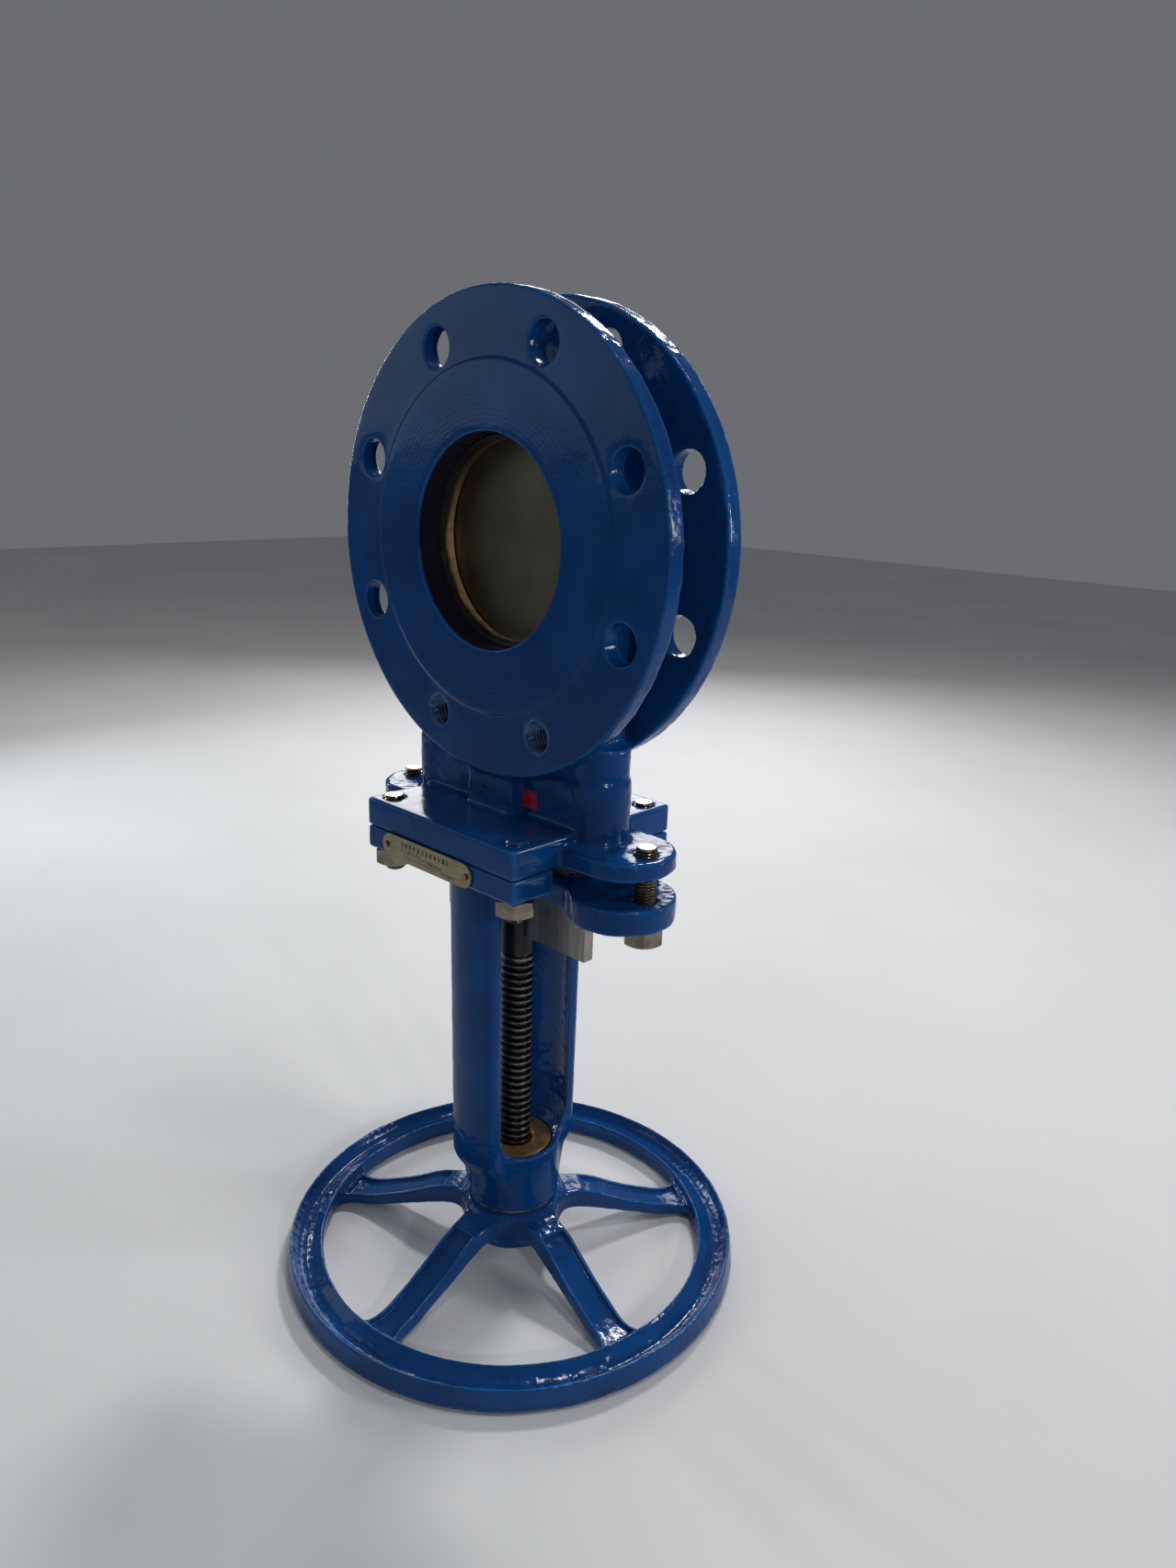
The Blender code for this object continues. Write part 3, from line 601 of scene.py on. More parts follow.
def spoke(angle):
    """One spoke: a shallow channel with raised edges that flares in to the hub and the rim."""
    cosine, sine = math.cos(angle), math.sin(angle)
    start, reach, spread = 0.015, SPOKE_TOP[-1][0], 0.016
    channel_start, channel_end = 0.04, 0.1
    edge, ridge, channel_depth = 0.0016, 0.0023, 0.0023

    def distance(x, y, z):
        radius = x * cosine + y * sine
        across = np.abs(-x * sine + y * cosine)
        flare = 0.005 * np.clip((radius - 0.09) / 0.014, 0, 1) ** 2
        half = SPOKE_HALF_W + flare + 0.003 * np.clip((0.036 - radius) / 0.012, 0, 1) ** 2
        top, bottom = soft_line(SPOKE_TOP, radius), soft_line(SPOKE_BOTTOM, radius)
        upright = np.maximum(z - top, bottom - z) * 0.9
        solid = rounded(across - half + edge, upright + edge, edge)
        solid = np.maximum(solid, np.maximum(radius - reach, start - radius))
        channel = np.maximum(across - half + ridge, top - channel_depth - z)
        channel = np.maximum(channel, np.maximum(channel_start - radius, radius - channel_end))
        return smooth_most(solid, -channel, 0.0009)
    ends = [(r * cosine + w * sine, r * sine - w * cosine) for r in (start, reach) for w in (-spread, spread)]
    xs, ys = zip(*ends)
    return distance, (min(xs), min(ys), 0.0), (max(xs), max(ys), 0.0305)


def make_handwheel():
    field = Field(WHEEL_LOW, WHEEL_HIGH, WHEEL_STEP)
    field.add(turned(rim_outline()))
    field.add(bar_z(HUB_R, HUB_LOW, HUB_TOP, edge=0.002), FILLET)
    for index in range(SPOKE_COUNT):
        field.add(spoke(SPOKE_AZIMUTH + 2 * math.pi * index / SPOKE_COUNT), WIDE_FILLET)
    field.cut(bar_z(NUT_HUB_R, HUB_LOW - PAST, HUB_TOP + PAST))
    field.cut(bar_z(HUB_RECESS_R, HUB_LOW - PAST, HUB_RECESS_TOP))
    return cast_piece("wheel_casting", field, "wheel", "handwheel", 53, 0.7)


# ---- turned, threaded and hexagonal pieces

def ring_piece(name, rings, closed, body, nodes, sharp=32):
    """A mesh from rings of points; open ends are capped, or the last ring joins the first."""
    rings = np.array(rings)
    rows, columns = rings.shape[:2]
    vertices = rings.reshape(-1, 3).tolist()
    faces = []
    for row in range(rows if closed else rows - 1):
        a, b = row * columns, (row + 1) % rows * columns
        for column in range(columns):
            after = (column + 1) % columns
            faces.append((a + column, a + after, b + after, b + column))
    if not closed:
        faces.append(tuple(reversed(range(columns))))
        faces.append(tuple(range((rows - 1) * columns, rows * columns)))
    mesh = bpy.data.meshes.new(name)
    mesh.from_pydata(vertices, [], faces)
    shape = bmesh.new()
    shape.from_mesh(mesh)
    bmesh.ops.recalc_face_normals(shape, faces=shape.faces)
    shape.to_mesh(mesh)
    shape.free()
    mesh.shade_smooth()
    mesh.set_sharp_from_angle(angle=math.radians(sharp))
    return stand_in(add_object(name, mesh), body, nodes)


def circle_angles(columns):
    return np.arange(columns) * 2 * math.pi / columns


def ring(radius, height, angles, centre=(0.0, 0.0)):
    """One ring of points; radius and height are numbers, or one value for each angle."""
    radius = np.broadcast_to(radius, angles.shape)
    height = np.broadcast_to(height, angles.shape)
    return np.stack([centre[0] + radius * np.cos(angles), centre[1] + radius * np.sin(angles), height], 1)


def thread_rings(radius, pitch, depth, low, high, hand, angles, centre=(0.0, 0.0), crest=0.2, tip=0.0009):
    """Rings of a cut thread from low to high; both ends are chamfered by `tip`."""
    rings = []
    for height in np.linspace(low, high, max(2, int((high - low) / pitch * 10) + 1)):
        turn = (height / pitch - hand * angles / (2 * math.pi)) % 1.0
        groove = np.clip((np.abs(turn - 0.5) * 2 - crest) / (1 - 2 * crest), 0, 1)
        run_out = np.clip(min(height - low, high - height) / max(tip, 1e-6), 0, 1)
        chamfer = tip * (1 - run_out)
        rings.append(ring(np.minimum(radius - depth * groove, radius - chamfer), height, angles, centre))
    return rings


def m10_rings(low, high, angles, centre):
    return thread_rings(M10_R, M10_PITCH, M10_DEPTH, low, high, RIGHT_HAND, angles, centre)


def hex_rings(flat, low, high, angles, turn, centre):
    """Sides of a hexagon, with the round chamfer that a turned nut has at its corners."""
    sixth = math.pi / 3
    side = flat / 2 / np.cos((angles - math.radians(turn)) % sixth - sixth / 2)
    face_r = flat / 2 * 0.975
    drop = (side - face_r) * math.tan(math.radians(30))
    return [ring(face_r, low, angles, centre), ring(side, low + drop, angles, centre),
            ring(side, high - drop, angles, centre), ring(face_r, high, angles, centre)]


def nut_piece(name, node, flat, bore, turn, body, centre=(0.0, 0.0)):
    low, high = (corner.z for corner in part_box(node))
    angles = circle_angles(72)
    lead = 0.0006
    start = [ring(bore, low + lead, angles, centre), ring(bore + lead, low, angles, centre)]
    end = [ring(bore + lead, high, angles, centre), ring(bore, high - lead, angles, centre)]
    rings = start + hex_rings(flat, low, high, angles, turn, centre) + end
    return ring_piece(name, rings, True, body, [node])


def make_gland_bolts(material):
    for side, label in ((-1, "left"), (1, "right")):
        node = "gland_bolt_" + label
        low, high = (corner.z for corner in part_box(node))
        head_top = GLAND_LOW.z - 0.0003
        angles = circle_angles(72)
        centre = (side * GLAND_BOLT_X, 0.0)
        rings = hex_rings(HEX_FLAT, low, head_top, angles, 15, centre)
        rings += m10_rings(head_top, high, angles, centre)
        give(ring_piece("hex_bolt_" + label, rings, False, "frame", [node]), material)


def make_yoke_fasteners(zinc, painted):
    angles = circle_angles(40)
    for x, y, label in stud_places():
        low, high = (corner.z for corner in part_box("yoke_stud_" + label))
        rings = m10_rings(low, high, angles, (x, y))
        stud = ring_piece("stud_" + label, rings, False, "frame", ["yoke_stud_" + label])
        give(stud, painted if label == "front_right" else zinc)
        give(nut_piece("nut_" + label, "yoke_nut_" + label, HEX_FLAT, CLEAR_R, 12, "frame", (x, y)), zinc)


def make_stem():
    """The stem: a trapezoidal left-hand thread below, a plain forked shank round the gate above."""
    angles = circle_angles(64)
    low, high = STEM_LOW.z, STEM_HIGH.z
    rings = thread_rings(STEM_R, STEM_PITCH, STEM_THREAD_DEPTH, low, STEM_THREAD_TOP, LEFT_HAND, angles,
                         crest=0.3, tip=0.0015)
    for height in (STEM_THREAD_TOP + 0.0006, GATE_LOW.z - 0.004, high - 0.001):
        rings.append(ring(STEM_R, height, angles))
    rings.append(ring(STEM_R - 0.001, high, angles))
    stem = ring_piece("cut_stem", rings, False, "gate", ["stem"], 38)
    gap = 0.0003
    tool = add_object("fork_cutter", bpy.data.meshes.new("fork_cutter"))
    shape = bmesh.new()
    bmesh.ops.create_cube(shape, size=1.0)
    shape.to_mesh(tool.data)
    shape.free()
    bottom, top = GATE_LOW.z - gap, high + 0.01
    tool.data.transform(Matrix.Diagonal((0.04, 2 * (GATE_HIGH.y + gap), top - bottom, 1.0)))
    tool.data.transform(Matrix.Translation((0, 0, (bottom + top) / 2)))
    stem.modifiers.new("fork", 'BOOLEAN').object = tool
    bake_modifiers(stem)
    bpy.data.objects.remove(tool)
    stem.data.set_sharp_from_angle(angle=math.radians(38))
    return stem


def make_stem_nut():
    """The bronze nut's flange has a rounded rim and a countersunk mouth."""
    low, high = NUT_LOW.z, NUT_HIGH.z
    rim = NUT_HIGH.x
    mouth = STEM_R + 0.0003
    angles = circle_angles(96)
    profile = [(mouth, low + 0.001), (mouth + 0.0008, low), (NUT_TAIL_R - 0.0008, low),
               (NUT_TAIL_R, low + 0.0008), (NUT_TAIL_R, HUB_RECESS_TOP), (NUT_WHEEL_R, HUB_RECESS_TOP),
               (NUT_WHEEL_R, NUT_WHEEL_TOP), (NUT_SLEEVE_R, NUT_WHEEL_TOP), (NUT_SLEEVE_R, NUT_FLANGE_LOW),
               (rim - 0.0006, NUT_FLANGE_LOW), (rim, NUT_FLANGE_LOW + 0.0006), (rim, high - 0.0012),
               (rim - 0.0004, high - 0.0004), (rim - 0.0012, high), (mouth + 0.0016, high),
               (mouth + 0.0003, high - 0.0013), (mouth, high - 0.002)]
    rings = [ring(radius, height, angles) for radius, height in profile]
    return ring_piece("bronze_stem_nut", rings, True, "wheel", ["stem_nut"], 40)


def make_tapped_threads(material):
    """The cut threads in the blind holes of both flanges, as sleeves sunk in the casting."""
    angles = circle_angles(64)
    start, end = FLANGE_Y - TAPPED_DEPTH, FLANGE_Y - 0.0006
    inside = thread_rings(TAPPED_MAJOR_R, TAPPED_PITCH, TAPPED_MAJOR_R - TAPPED_MINOR_R, start, end,
                          RIGHT_HAND, angles, crest=0.12, tip=0.0)
    outer = TAPPED_MAJOR_R + 0.0006
    rings = np.array(inside + [ring(outer, end, angles), ring(outer, start, angles)])
    tapped_holes = [(index, x, z) for index, (x, z, tapped) in enumerate(flange_holes()) if tapped]
    for index, x, z in tapped_holes:
        for side, label in ((-1, "front"), (1, "rear")):
            points = np.stack([x + rings[..., 0], side * rings[..., 2], z - side * rings[..., 1]], -1)
            name = "%s_tapped_thread_%d" % (label, index)
            give(ring_piece(name, points, True, "frame", []), material)


# ---- materials

class Nodes:
    """Short hand for building one material's node tree."""

    def __init__(self, name):
        self.material = bpy.data.materials.new(name)
        self.material.use_nodes = True
        self.tree = self.material.node_tree
        self.shader = self.tree.nodes["Principled BSDF"]
        self.place = self.new("TexCoord").outputs["Object"]

    def new(self, kind, **values):
        node = self.tree.nodes.new("ShaderNode" + kind)
        for name, value in values.items():
            node.inputs[name.replace("_", " ")].default_value = value
        return node

    def link(self, source, target):
        self.tree.links.new(source, target)

    def noise(self, scale, detail=3.0, roughness=0.5, stretch=None):
        node = self.new("TexNoise", Scale=scale, Detail=detail, Roughness=roughness)
        source = self.place
        if stretch is not None:
            mapping = self.new("Mapping", Scale=stretch)
            self.link(self.place, mapping.inputs["Vector"])
            source = mapping.outputs["Vector"]
        self.link(source, node.inputs["Vector"])
        return node.outputs["Fac"]

    def spread(self, source, low, high, to_low=0.0, to_high=1.0):
        node = self.new("MapRange", From_Min=low, From_Max=high, To_Min=to_low, To_Max=to_high)
        self.link(source, node.inputs["Value"])
        return node.outputs["Result"]

    def math(self, operation, a, b=0.0):
        node = self.new("Math")
        node.operation = operation
        for index, value in enumerate((a, b)):
            if isinstance(value, (int, float)):
                node.inputs[index].default_value = value
            else:
                self.link(value, node.inputs[index])
        return node.outputs["Value"]

    def times(self, first, *others):
        for other in others:
            first = self.math('MULTIPLY', first, other)
        return first

    def length(self, a, b):
        return self.math('SQRT', self.math('ADD', self.times(a, a), self.times(b, b)))

    def mix(self, share, a, b):
        node = self.new("Mix")
        node.data_type = 'RGBA'
        self.link(share, node.inputs["Factor"])
        for socket, value in (("A", a), ("B", b)):
            target = [s for s in node.inputs if s.name == socket and s.type == 'RGBA'][0]
            if isinstance(value, tuple):
                target.default_value = (*value, 1.0)
            else:
                self.link(value, target)
        return [s for s in node.outputs if s.type == 'RGBA'][0]

    def axes(self, source=None):
        node = self.new("SeparateXYZ")
        self.link(source or self.place, node.inputs["Vector"])
        return node.outputs["X"], node.outputs["Y"], node.outputs["Z"]

    def within(self, value, low, high, soft):
        """1 between low and high, 0 outside, with an edge `soft` wide."""
        rise = self.spread(value, low - soft, low + soft)
        fall = self.spread(value, high - soft, high + soft, 1.0, 0.0)
        return self.times(rise, fall)

    def bump(self, height, distance, strength=1.0, under=None):
        node = self.new("Bump", Strength=strength, Distance=distance)
        self.link(height, node.inputs["Height"])
        if under is not None:
            self.link(under, node.inputs["Normal"])
        return node.outputs["Normal"]

    def finish(self, **values):
        for name, value in values.items():
            socket = self.shader.inputs[name.replace("_", " ")]
            if isinstance(value, bpy.types.NodeSocket):
                self.link(value, socket)
            else:
                socket.default_value = value
        return self.material


BLUE_DEEP = (0.0024, 0.0365, 0.142)
BLUE_LIGHT = (0.0036, 0.057, 0.218)
# Lighter blue of the painted highlight along sharp edges
BLUE_EDGE_HIGHLIGHT = (0.03, 0.16, 0.43)
DUST = (0.1, 0.14, 0.2)
RED_PAINT = (0.42, 0.012, 0.045)
BARE_BORE = (0.013, 0.012, 0.019)
ZINC_DARK = (0.17, 0.152, 0.115)
ZINC_LIGHT = (0.29, 0.262, 0.205)
RUSTY_OIL = (0.075, 0.032, 0.022)


def enamel(name, lumps, red_mark=False, turned_face=False, shine=0.1):
    """Thick glossy enamel: lumpy over a sand casting, with a painted highlight in lighter blue along the
    edges.
    """
    n = Nodes(name)
    cloud = n.spread(n.noise(28.0, 4.0), 0.35, 0.68)
    colour = n.mix(cloud, BLUE_DEEP, BLUE_LIGHT)
    geometry = n.new("NewGeometry")
    # Painted highlight: sharp edges are tinted lighter blue, standing in for the lamps' glints on them.
    edge = n.spread(geometry.outputs["Pointiness"], 0.512, 0.572, 0.0, 0.75)
    colour = n.mix(edge, colour, BLUE_EDGE_HIGHLIGHT)
    dust = n.spread(n.axes(geometry.outputs["Normal"])[2], 0.75, 1.0)
    dust = n.times(dust, n.spread(n.noise(140.0, 5.0, 0.65), 0.55, 0.78, 0.0, 0.1))
    colour = n.mix(dust, colour, DUST)
    roughness = n.spread(n.noise(75.0, 4.0), 0.3, 0.7, 0.07, 0.2)
    if red_mark:
        colour = n.mix(paint_mark(n), colour, RED_PAINT)
    lump = n.noise(190.0)
    if turned_face:
        flat = n.spread(n.math('ABSOLUTE', n.axes()[1]), FLANGE_Y - 0.0008, FLANGE_Y - 0.0004, 1.0, 0.25)
        lump = n.times(lump, flat)
    normal = n.bump(lump, 0.0009 * lumps, 0.45)
    normal = n.bump(n.noise(620.0, 2.0, 0.6), 0.00022 * lumps, 0.4, normal)
    if turned_face:
        normal = n.bump(face_rings(n), 0.00002, 0.4, normal)
        bare = bore_wall(n)
        colour = n.mix(bare, colour, BARE_BORE)
        roughness = n.math('ADD', roughness, n.times(bare, 0.12))
    return n.finish(Base_Color=colour, Roughness=roughness, Normal=normal, Coat_Weight=0.08,
                    Coat_Roughness=0.04, Specular_IOR_Level=shine)


def paint_mark(n):
    """A dabbed square of red paint on the chest, beside the middle block."""
    wander = n.spread(n.noise(420.0), 0.3, 0.7, -0.0007, 0.0007)
    x, y, z = n.axes()
    across = n.within(n.math('ADD', x, wander), MID_HALF_W + 0.0015, MID_HALF_W + 0.0105, 0.0005)
    along = n.within(n.math('ADD', z, wander), PLATE_TOP + 0.004, PLATE_TOP + 0.0125, 0.0005)
    front = n.spread(y, -0.01, -0.009, 1.0, 0.0)
    return n.times(across, along, front)


def pipe_radius(n):
    x, _, z = n.axes()
    return n.length(x, n.math('SUBTRACT', z, BORE_Z))


def face_rings(n):
    """Fine turning marks round the pipe axis, only on the raised faces."""
    ring_width = 0.0022
    wave = n.math('SINE', n.times(pipe_radius(n), 2 * math.pi / ring_width))
    face = n.spread(n.math('ABSOLUTE', n.axes()[1]), FACE_Y - 0.0006, FACE_Y - 0.0003)
    return n.times(wave, face)


def bore_wall(n):
    """1 on the wall of the pipe bore, where there is no paint."""
    near_axis = n.spread(pipe_radius(n), BORE_R + 0.0005, BORE_R + 0.0012, 1.0, 0.0)
    inside = n.spread(n.math('ABSOLUTE', n.axes()[1]), FACE_Y - 0.0016, FACE_Y - 0.0008, 1.0, 0.0)
    return n.times(near_axis, inside)


def metal(name, dark, light, stain, low, high, grain, stain_share=0.5, depth=0.00006, metallic=1.0):
    """Worn bare metal: brushed along one axis, with stains and uneven gloss."""
    n = Nodes(name)
    brushed = n.noise(1.0, 3.0, 0.6, grain)
    colour = n.mix(n.spread(brushed, 0.35, 0.65), dark, light)
    patches = n.spread(n.noise(90.0, 5.0, 0.6), 0.5, 0.72, 0.0, stain_share)
    colour = n.mix(patches, colour, stain)
    roughness = n.spread(n.math('ADD', brushed, patches), 0.3, 1.0, low, high)
    normal = n.bump(brushed, depth, 0.5)
    normal = n.bump(n.noise(900.0, 2.0), depth * 0.6, 0.4, normal)
    return n.finish(Base_Color=colour, Metallic=metallic, Roughness=roughness, Normal=normal)


def gate_metal():
    """The blade: dull and stained brown where the pipe opens on it, brushed and cleaner at its tail."""
    n = Nodes("brushed_gate")
    brushed = n.noise(1.0, 3.0, 0.6, (1500.0, 900.0, 45.0))
    _, _, height = n.axes()
    in_bore = n.spread(height, PLATE_LOW, PLATE_TOP + 0.05)
    tail = n.mix(n.spread(brushed, 0.35, 0.65), (0.21, 0.2, 0.175), (0.34, 0.325, 0.29))
    blade = n.mix(n.spread(n.noise(24.0, 4.0), 0.35, 0.65), (0.066, 0.052, 0.036), (0.108, 0.089, 0.064))
    colour = n.mix(in_bore, tail, blade)
    colour = n.mix(n.spread(n.noise(90.0, 5.0, 0.6), 0.55, 0.75, 0.0, 0.3), colour, (0.07, 0.055, 0.04))
    roughness = n.spread(n.math('ADD', brushed, in_bore), 0.3, 1.5, 0.3, 0.46)
    return n.finish(Base_Color=colour, Metallic=0.9, Roughness=roughness,
                    Normal=n.bump(brushed, 0.00005, 0.5))


def seat_metal():
    """The seat ring: nearly black, worn to bright bronze on the lip beside the gate; the bronze is a painted
    highlight low on the left, where light falls, and fades to painted shade elsewhere.
    """
    n = Nodes("seat_bronze")
    _, y, _ = n.axes()
    wander = n.spread(n.noise(60.0, 4.0), 0.3, 0.7, -0.0012, 0.0012)
    lip = n.spread(n.math('ADD', n.math('ABSOLUTE', y), wander), POCKET_HALF_T + 0.0022,
                   POCKET_HALF_T + 0.0048, 1.0, 0.0)
    x, _, z = n.axes()
    # Painted light: the lip is bright only low on the left, where light falls on it, and fades to the dark
    # colour elsewhere as painted shade.
    painted_light_low_left = n.math('ADD', z, n.times(x, 0.6))
    lip = n.times(lip, n.spread(painted_light_low_left, BORE_Z - 0.04, BORE_Z + 0.01, 1.0, 0.12))
    # Nearly black tarnish of the ring, which also serves as painted shade on the lip away from the lower
    # left.
    tarnish_and_shade = n.mix(n.spread(n.noise(120.0, 4.0), 0.35, 0.65), (0.012, 0.013, 0.018), (0.04, 0.034, 0.03))
    bright = n.mix(n.spread(n.noise(200.0), 0.35, 0.65), (0.66, 0.41, 0.18), (0.95, 0.7, 0.38))
    roughness = n.spread(lip, 0.0, 1.0, 0.45, 0.36)
    return n.finish(Base_Color=n.mix(lip, tarnish_and_shade, bright), Metallic=n.spread(lip, 0.0, 1.0, 0.35, 0.55),
                    Roughness=roughness, Normal=n.bump(n.noise(500.0), 0.00008, 0.5))


def oiled_thread():
    """Near-black oily steel: grey worn crests, a wiped band at the thread's top, a dark shank."""
    n = Nodes("oiled_thread_steel")
    x, y, z = n.axes()
    crest = n.spread(n.length(x, y), STEM_R - 0.0009, STEM_R - 0.0001)
    threaded = n.spread(z, STEM_THREAD_TOP - 0.0004, STEM_THREAD_TOP + 0.0008, 1.0, 0.1)
    band = n.within(z, STEM_THREAD_TOP - 0.0045, STEM_THREAD_TOP, 0.0006)
    worn = n.times(crest, n.spread(n.noise(160.0, 4.0), 0.32, 0.62, 0.2, 0.85), threaded)
    worn = n.math('ADD', worn, n.times(band, 0.35))
    colour = n.mix(worn, (0.016, 0.016, 0.017), (0.2, 0.195, 0.185))
    roughness = n.spread(n.noise(240.0, 4.0), 0.3, 0.7, 0.24, 0.46)
    normal = n.bump(n.noise(700.0), 0.00006, 0.6)
    return n.finish(Base_Color=colour, Metallic=0.85, Roughness=roughness, Normal=normal)


def plate_rows(n, x, z):
    """Rows of short worn strokes and two ruled lines, which spell nothing.

    Each row: height over the plate's middle, its two ends, half the strokes' height, their spacing.
    """
    middle_x = (LABEL_LOW.x + LABEL_HIGH.x) / 2
    middle_z = (LABEL_LOW.z + LABEL_HIGH.z) / 2
    rows = ((0.0027, -0.019, 0.017, 0.00125, 0.0031), (0.0001, -0.019, -0.003, 0.00065, 0.0019),
            (-0.0017, 0.001, 0.013, 0.0006, 0.0021), (-0.0037, 0.011, 0.022, 0.00065, 0.0018))
    ink = None
    for up, start, end, half, beat in rows:
        height = n.within(z, middle_z + up - half, middle_z + up + half, 0.00015)
        width = n.within(x, middle_x + start, middle_x + end, 0.0002)
        strokes = n.spread(n.math('SINE', n.times(x, 2 * math.pi / beat)), -0.3, 0.0)
        row = n.times(height, width, strokes)
        ink = row if ink is None else n.math('MAXIMUM', ink, row)
    for up in (-0.001, -0.0031):
        height = n.within(z, middle_z + up - 0.00018, middle_z + up + 0.00018, 0.00008)
        width = n.within(x, middle_x - 0.016, middle_x + 0.01, 0.0002)
        ink = n.math('MAXIMUM', ink, n.times(height, width))
    return ink


def plate_metal():
    """Aged brass plate, stained, with its markings partly rubbed away."""
    n = Nodes("aged_nameplate")
    x, _, z = n.axes()
    ink = plate_rows(n, x, z)
    worn = n.times(ink, n.spread(n.noise(330.0), 0.35, 0.6, 0.45, 1.0))
    brushed = n.noise(1.0, 3.0, 0.6, (60.0, 900.0, 1600.0))
    colour = n.mix(n.spread(brushed, 0.3, 0.7), (0.21, 0.185, 0.11), (0.35, 0.315, 0.195))
    colour = n.mix(n.spread(n.noise(110.0, 5.0), 0.5, 0.75, 0.0, 0.55), colour, (0.12, 0.095, 0.06))
    colour = n.mix(worn, colour, (0.018, 0.018, 0.017))
    normal = n.bump(ink, 0.00008, 0.8)
    return n.finish(Base_Color=colour, Metallic=0.75, Roughness=n.spread(brushed, 0.3, 0.7, 0.3, 0.46),
                    Normal=normal)


def zinc_cloud(n):
    cloud = n.spread(n.noise(120.0, 4.0), 0.35, 0.65)
    return cloud, n.mix(cloud, ZINC_DARK, ZINC_LIGHT)


def bolt_zinc():
    """Gland bolts: bright heads and thread crests, rusty oil in the grooves between gland and ear."""
    n = Nodes("zinc_gland_bolt")
    x, y, z = n.axes()
    radius = n.length(n.math('SUBTRACT', n.math('ABSOLUTE', x), GLAND_BOLT_X), y)
    groove = n.spread(radius, M10_R - M10_DEPTH, M10_R - 0.0001, 1.0, 0.0)
    groove = n.times(groove, n.spread(z, GLAND_LOW.z, GLAND_TOP),
                     n.spread(z, EAR_TOP + 0.0036, EAR_TOP + 0.0032))
    colour = n.mix(groove, zinc_cloud(n)[1], RUSTY_OIL)
    roughness = n.spread(groove, 0.0, 1.0, 0.2, 0.55)
    return n.finish(Base_Color=colour, Metallic=0.95, Roughness=roughness)


def part_painted_zinc():
    """The stud whose tip was painted over with the body."""
    n = Nodes("zinc_with_painted_tip")
    _, _, z = n.axes()
    painted = n.spread(z, PLATE_TOP - 0.004, PLATE_TOP - 0.003)
    cloud, zinc = zinc_cloud(n)
    colour = n.mix(painted, zinc, n.mix(cloud, BLUE_DEEP, BLUE_LIGHT))
    metallic = n.spread(painted, 0.0, 1.0, 0.95, 0.0)
    roughness = n.spread(n.noise(240.0, 4.0), 0.3, 0.7, 0.16, 0.34)
    normal = n.bump(n.noise(420.0), 0.0003, 0.6)
    return n.finish(Base_Color=colour, Metallic=metallic, Roughness=roughness, Normal=normal)


def soft_material(name, dark, light, roughness, weave):
    n = Nodes(name)
    pattern = n.noise(weave)
    colour = n.mix(n.spread(pattern, 0.3, 0.7), dark, light)
    rough = n.spread(pattern, 0.3, 0.7, roughness - 0.08, roughness + 0.08)
    return n.finish(Base_Color=colour, Roughness=rough, Normal=n.bump(pattern, 0.0002, 0.7))


def give(piece, material):
    piece.data.materials.clear()
    piece.data.materials.append(material)


# ---- floor, light and camera

CAMERA_PLACE = Vector((0.38487, -0.36085, 0.42662))
CAMERA_YAW = math.radians(43.163)
CAMERA_DOWN = math.radians(16.839)
CAMERA_ROLL = math.radians(1.969)
SENSOR = 36.0
LENS = 25.56
LAMP_AIM = Vector((0.0, 0.0, 0.25))
WHITE, COOL, SKY = (1.0, 1.0, 1.0), (0.93, 0.97, 1.0), (0.72, 0.95, 1.0)
# Each lamp's name, place, width and height, watts and colour
LAMPS = (("back_high_softbox", (-0.39, 0.99, 1.3), (0.24, 0.14), 9.4, WHITE),
         ("back_wide_softbox", (-1.0, 1.1, 0.74), (0.9, 0.4), 6.8, WHITE),
         ("back_right_softbox", (1.05, 0.85, 0.6), (0.16, 0.3), 4.6, COOL),
         ("top_softbox", (0.35, 0.1, 1.4), (0.14, 0.1), 2.8, WHITE),
         ("left_strip", (-1.15, 0.05, 0.55), (0.07, 0.5), 2.4, COOL),
         ("front_left_softbox", (-0.97, -0.9, 0.66), (0.95, 0.5), 1.7, SKY),
         ("right_spot", (1.25, -0.45, 0.7), (0.08, 0.08), 2.6, WHITE))


def make_floor():
    bpy.ops.mesh.primitive_plane_add(size=8.0, location=(0.0, 0.0, CAD_BOX[0][2]))
    floor = bpy.context.object
    floor.name = "floor"
    n = Nodes("pale_floor")
    colour = n.mix(n.spread(n.noise(3.0, 4.0), 0.3, 0.7), (0.66, 0.66, 0.66), (0.72, 0.72, 0.72))
    give(floor, n.finish(Base_Color=colour, Roughness=0.75, Specular_IOR_Level=0.2))


def make_light():
    for name, place, size, watts, colour in LAMPS:
        lamp = bpy.data.lights.new(name, 'AREA')
        lamp.shape = 'RECTANGLE'
        lamp.size, lamp.size_y = size
        lamp.energy = watts
        lamp.color = colour
        holder = add_object(name, lamp)
        holder.location = place
        holder.rotation_euler = (Vector(place) - LAMP_AIM).to_track_quat('Z', 'Y').to_euler()
        holder.visible_camera = False
    world = bpy.data.worlds.new("studio")
    world.use_nodes = True
    background = world.node_tree.nodes["Background"]
    background.inputs["Color"].default_value = (0.86, 0.9, 0.96, 1.0)
    background.inputs["Strength"].default_value = 0.17
    bpy.context.scene.world = world
    bpy.context.scene.view_settings.view_transform = 'Standard'


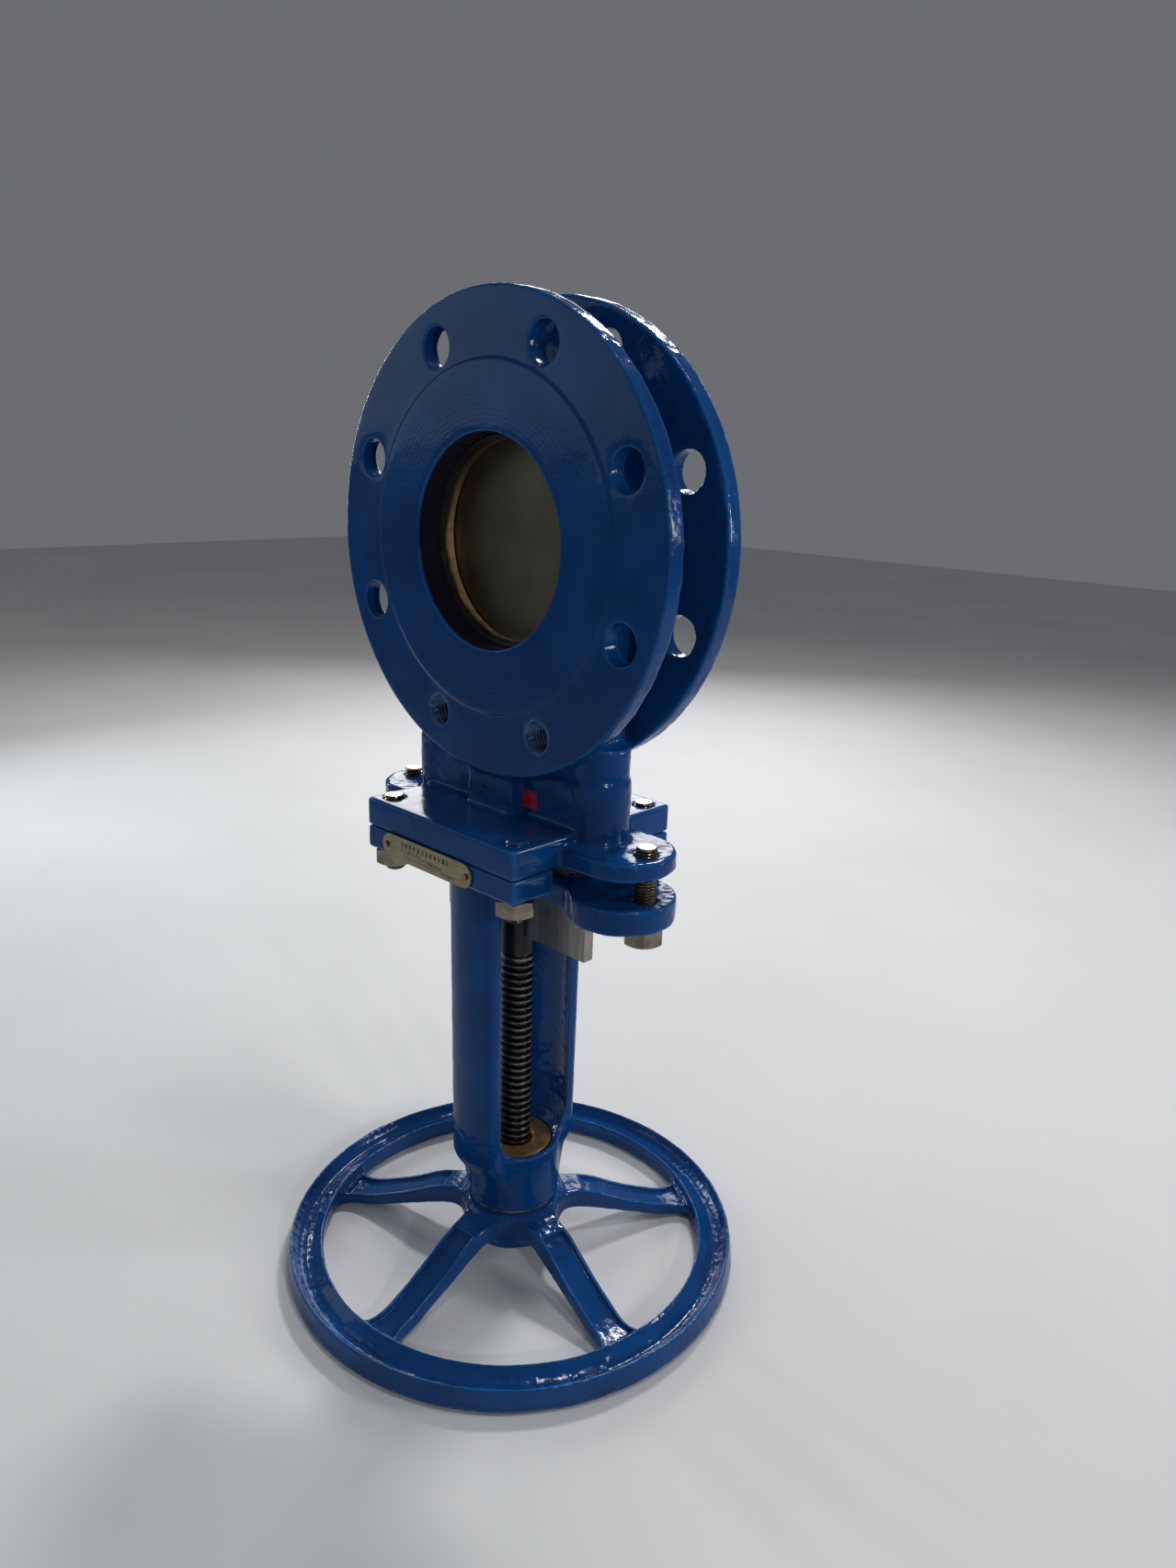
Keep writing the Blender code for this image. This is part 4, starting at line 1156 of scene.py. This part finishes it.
def make_camera():
    forward = Vector((-math.sin(CAMERA_YAW) * math.cos(CAMERA_DOWN),
                      math.cos(CAMERA_YAW) * math.cos(CAMERA_DOWN), -math.sin(CAMERA_DOWN)))
    level = Vector((math.cos(CAMERA_YAW), math.sin(CAMERA_YAW), 0.0))
    upright = level.cross(forward)
    right = math.cos(CAMERA_ROLL) * level + math.sin(CAMERA_ROLL) * upright
    above = -math.sin(CAMERA_ROLL) * level + math.cos(CAMERA_ROLL) * upright
    placement = Matrix((right, above, -forward)).transposed().to_4x4()
    placement.translation = CAMERA_PLACE
    camera = add_object("camera", bpy.data.cameras.new("camera"))
    camera.matrix_world = placement
    camera.data.sensor_fit = 'AUTO'
    camera.data.sensor_width = SENSOR
    camera.data.lens = LENS
    camera.data.clip_start = 0.01
    bpy.context.scene.camera = camera


# ---- the valve

def carried_over(nodes, material, width=0.0002):
    """Carried-over CAD pieces get a material and their real, slightly broken edges."""
    for node in nodes:
        give(frame["nodes"][node], material)
        bevel = frame["nodes"][node].modifiers.new("edges", 'BEVEL')
        bevel.width = width
        bevel.segments = 2
        bevel.limit_method = 'ANGLE'
        bevel.angle_limit = math.radians(40)


def make_valve():
    plain = metal("machined_steel", (0.3, 0.29, 0.28), (0.52, 0.51, 0.49), (0.2, 0.15, 0.1), 0.26, 0.46,
                  (900.0, 900.0, 90.0))
    zinc = metal("yellow_zinc", ZINC_DARK, ZINC_LIGHT, (0.11, 0.08, 0.05), 0.13, 0.26, (90.0, 90.0, 160.0),
                 0.22, 0.00001, 0.95)
    copper = metal("copper_rivet", (0.3, 0.12, 0.09), (0.5, 0.22, 0.17), (0.12, 0.07, 0.06), 0.28, 0.42,
                   (600.0, 600.0, 600.0), 0.3, 0.00003)
    bronze = metal("turned_bronze", (0.46, 0.26, 0.1), (0.66, 0.39, 0.16), (0.3, 0.15, 0.06), 0.24, 0.36,
                   (120.0, 120.0, 1200.0), 0.15, 0.00002, 0.75)
    give(make_body(), enamel("body_enamel", 0.7, red_mark=True, turned_face=True))
    give(make_yoke(), enamel("yoke_enamel", 0.35))
    give(make_gland(), enamel("gland_enamel", 0.9))
    give(make_handwheel(), enamel("wheel_enamel", 0.85, shine=0.2))
    give(make_stem(), oiled_thread())
    give(make_stem_nut(), bronze)
    make_gland_bolts(bolt_zinc())
    make_yoke_fasteners(zinc, part_painted_zinc())
    make_tapped_threads(metal("thinly_painted_thread", (0.02, 0.07, 0.2), (0.09, 0.17, 0.33),
                              (0.03, 0.035, 0.05), 0.14, 0.26, (300.0, 300.0, 300.0), 0.3, 0.00002, 0.6))
    give(nut_piece("lock_nut", "wheel_lock_nut", LOCK_NUT_FLAT, LOCK_NUT_BORE_R, 0, "wheel"), zinc)
    carried_over(["knife_gate"], gate_metal(), 0.0004)
    carried_over(["front_seat_ring"], seat_metal(), 0.0003)
    carried_over(["rear_seat_ring", "gate_pin_lower", "gate_pin_upper", "upper_thrust_washer",
                  "lower_thrust_washer", "wheel_key"], plain)
    carried_over(["nameplate"], plate_metal(), 0.00015)
    carried_over(["nameplate_rivet_left", "nameplate_rivet_right"], copper, 0.0005)
    carried_over(["seat_seal"],
                 soft_material("seal_rubber", (0.01, 0.01, 0.01), (0.025, 0.025, 0.025), 0.6, 500.0))
    carried_over(["packing_ring_%d" % index for index in (1, 2, 3, 4)],
                 soft_material("braided_packing", (0.45, 0.42, 0.36), (0.7, 0.67, 0.6), 0.8, 450.0))


make_floor()
make_light()
make_camera()
make_valve()
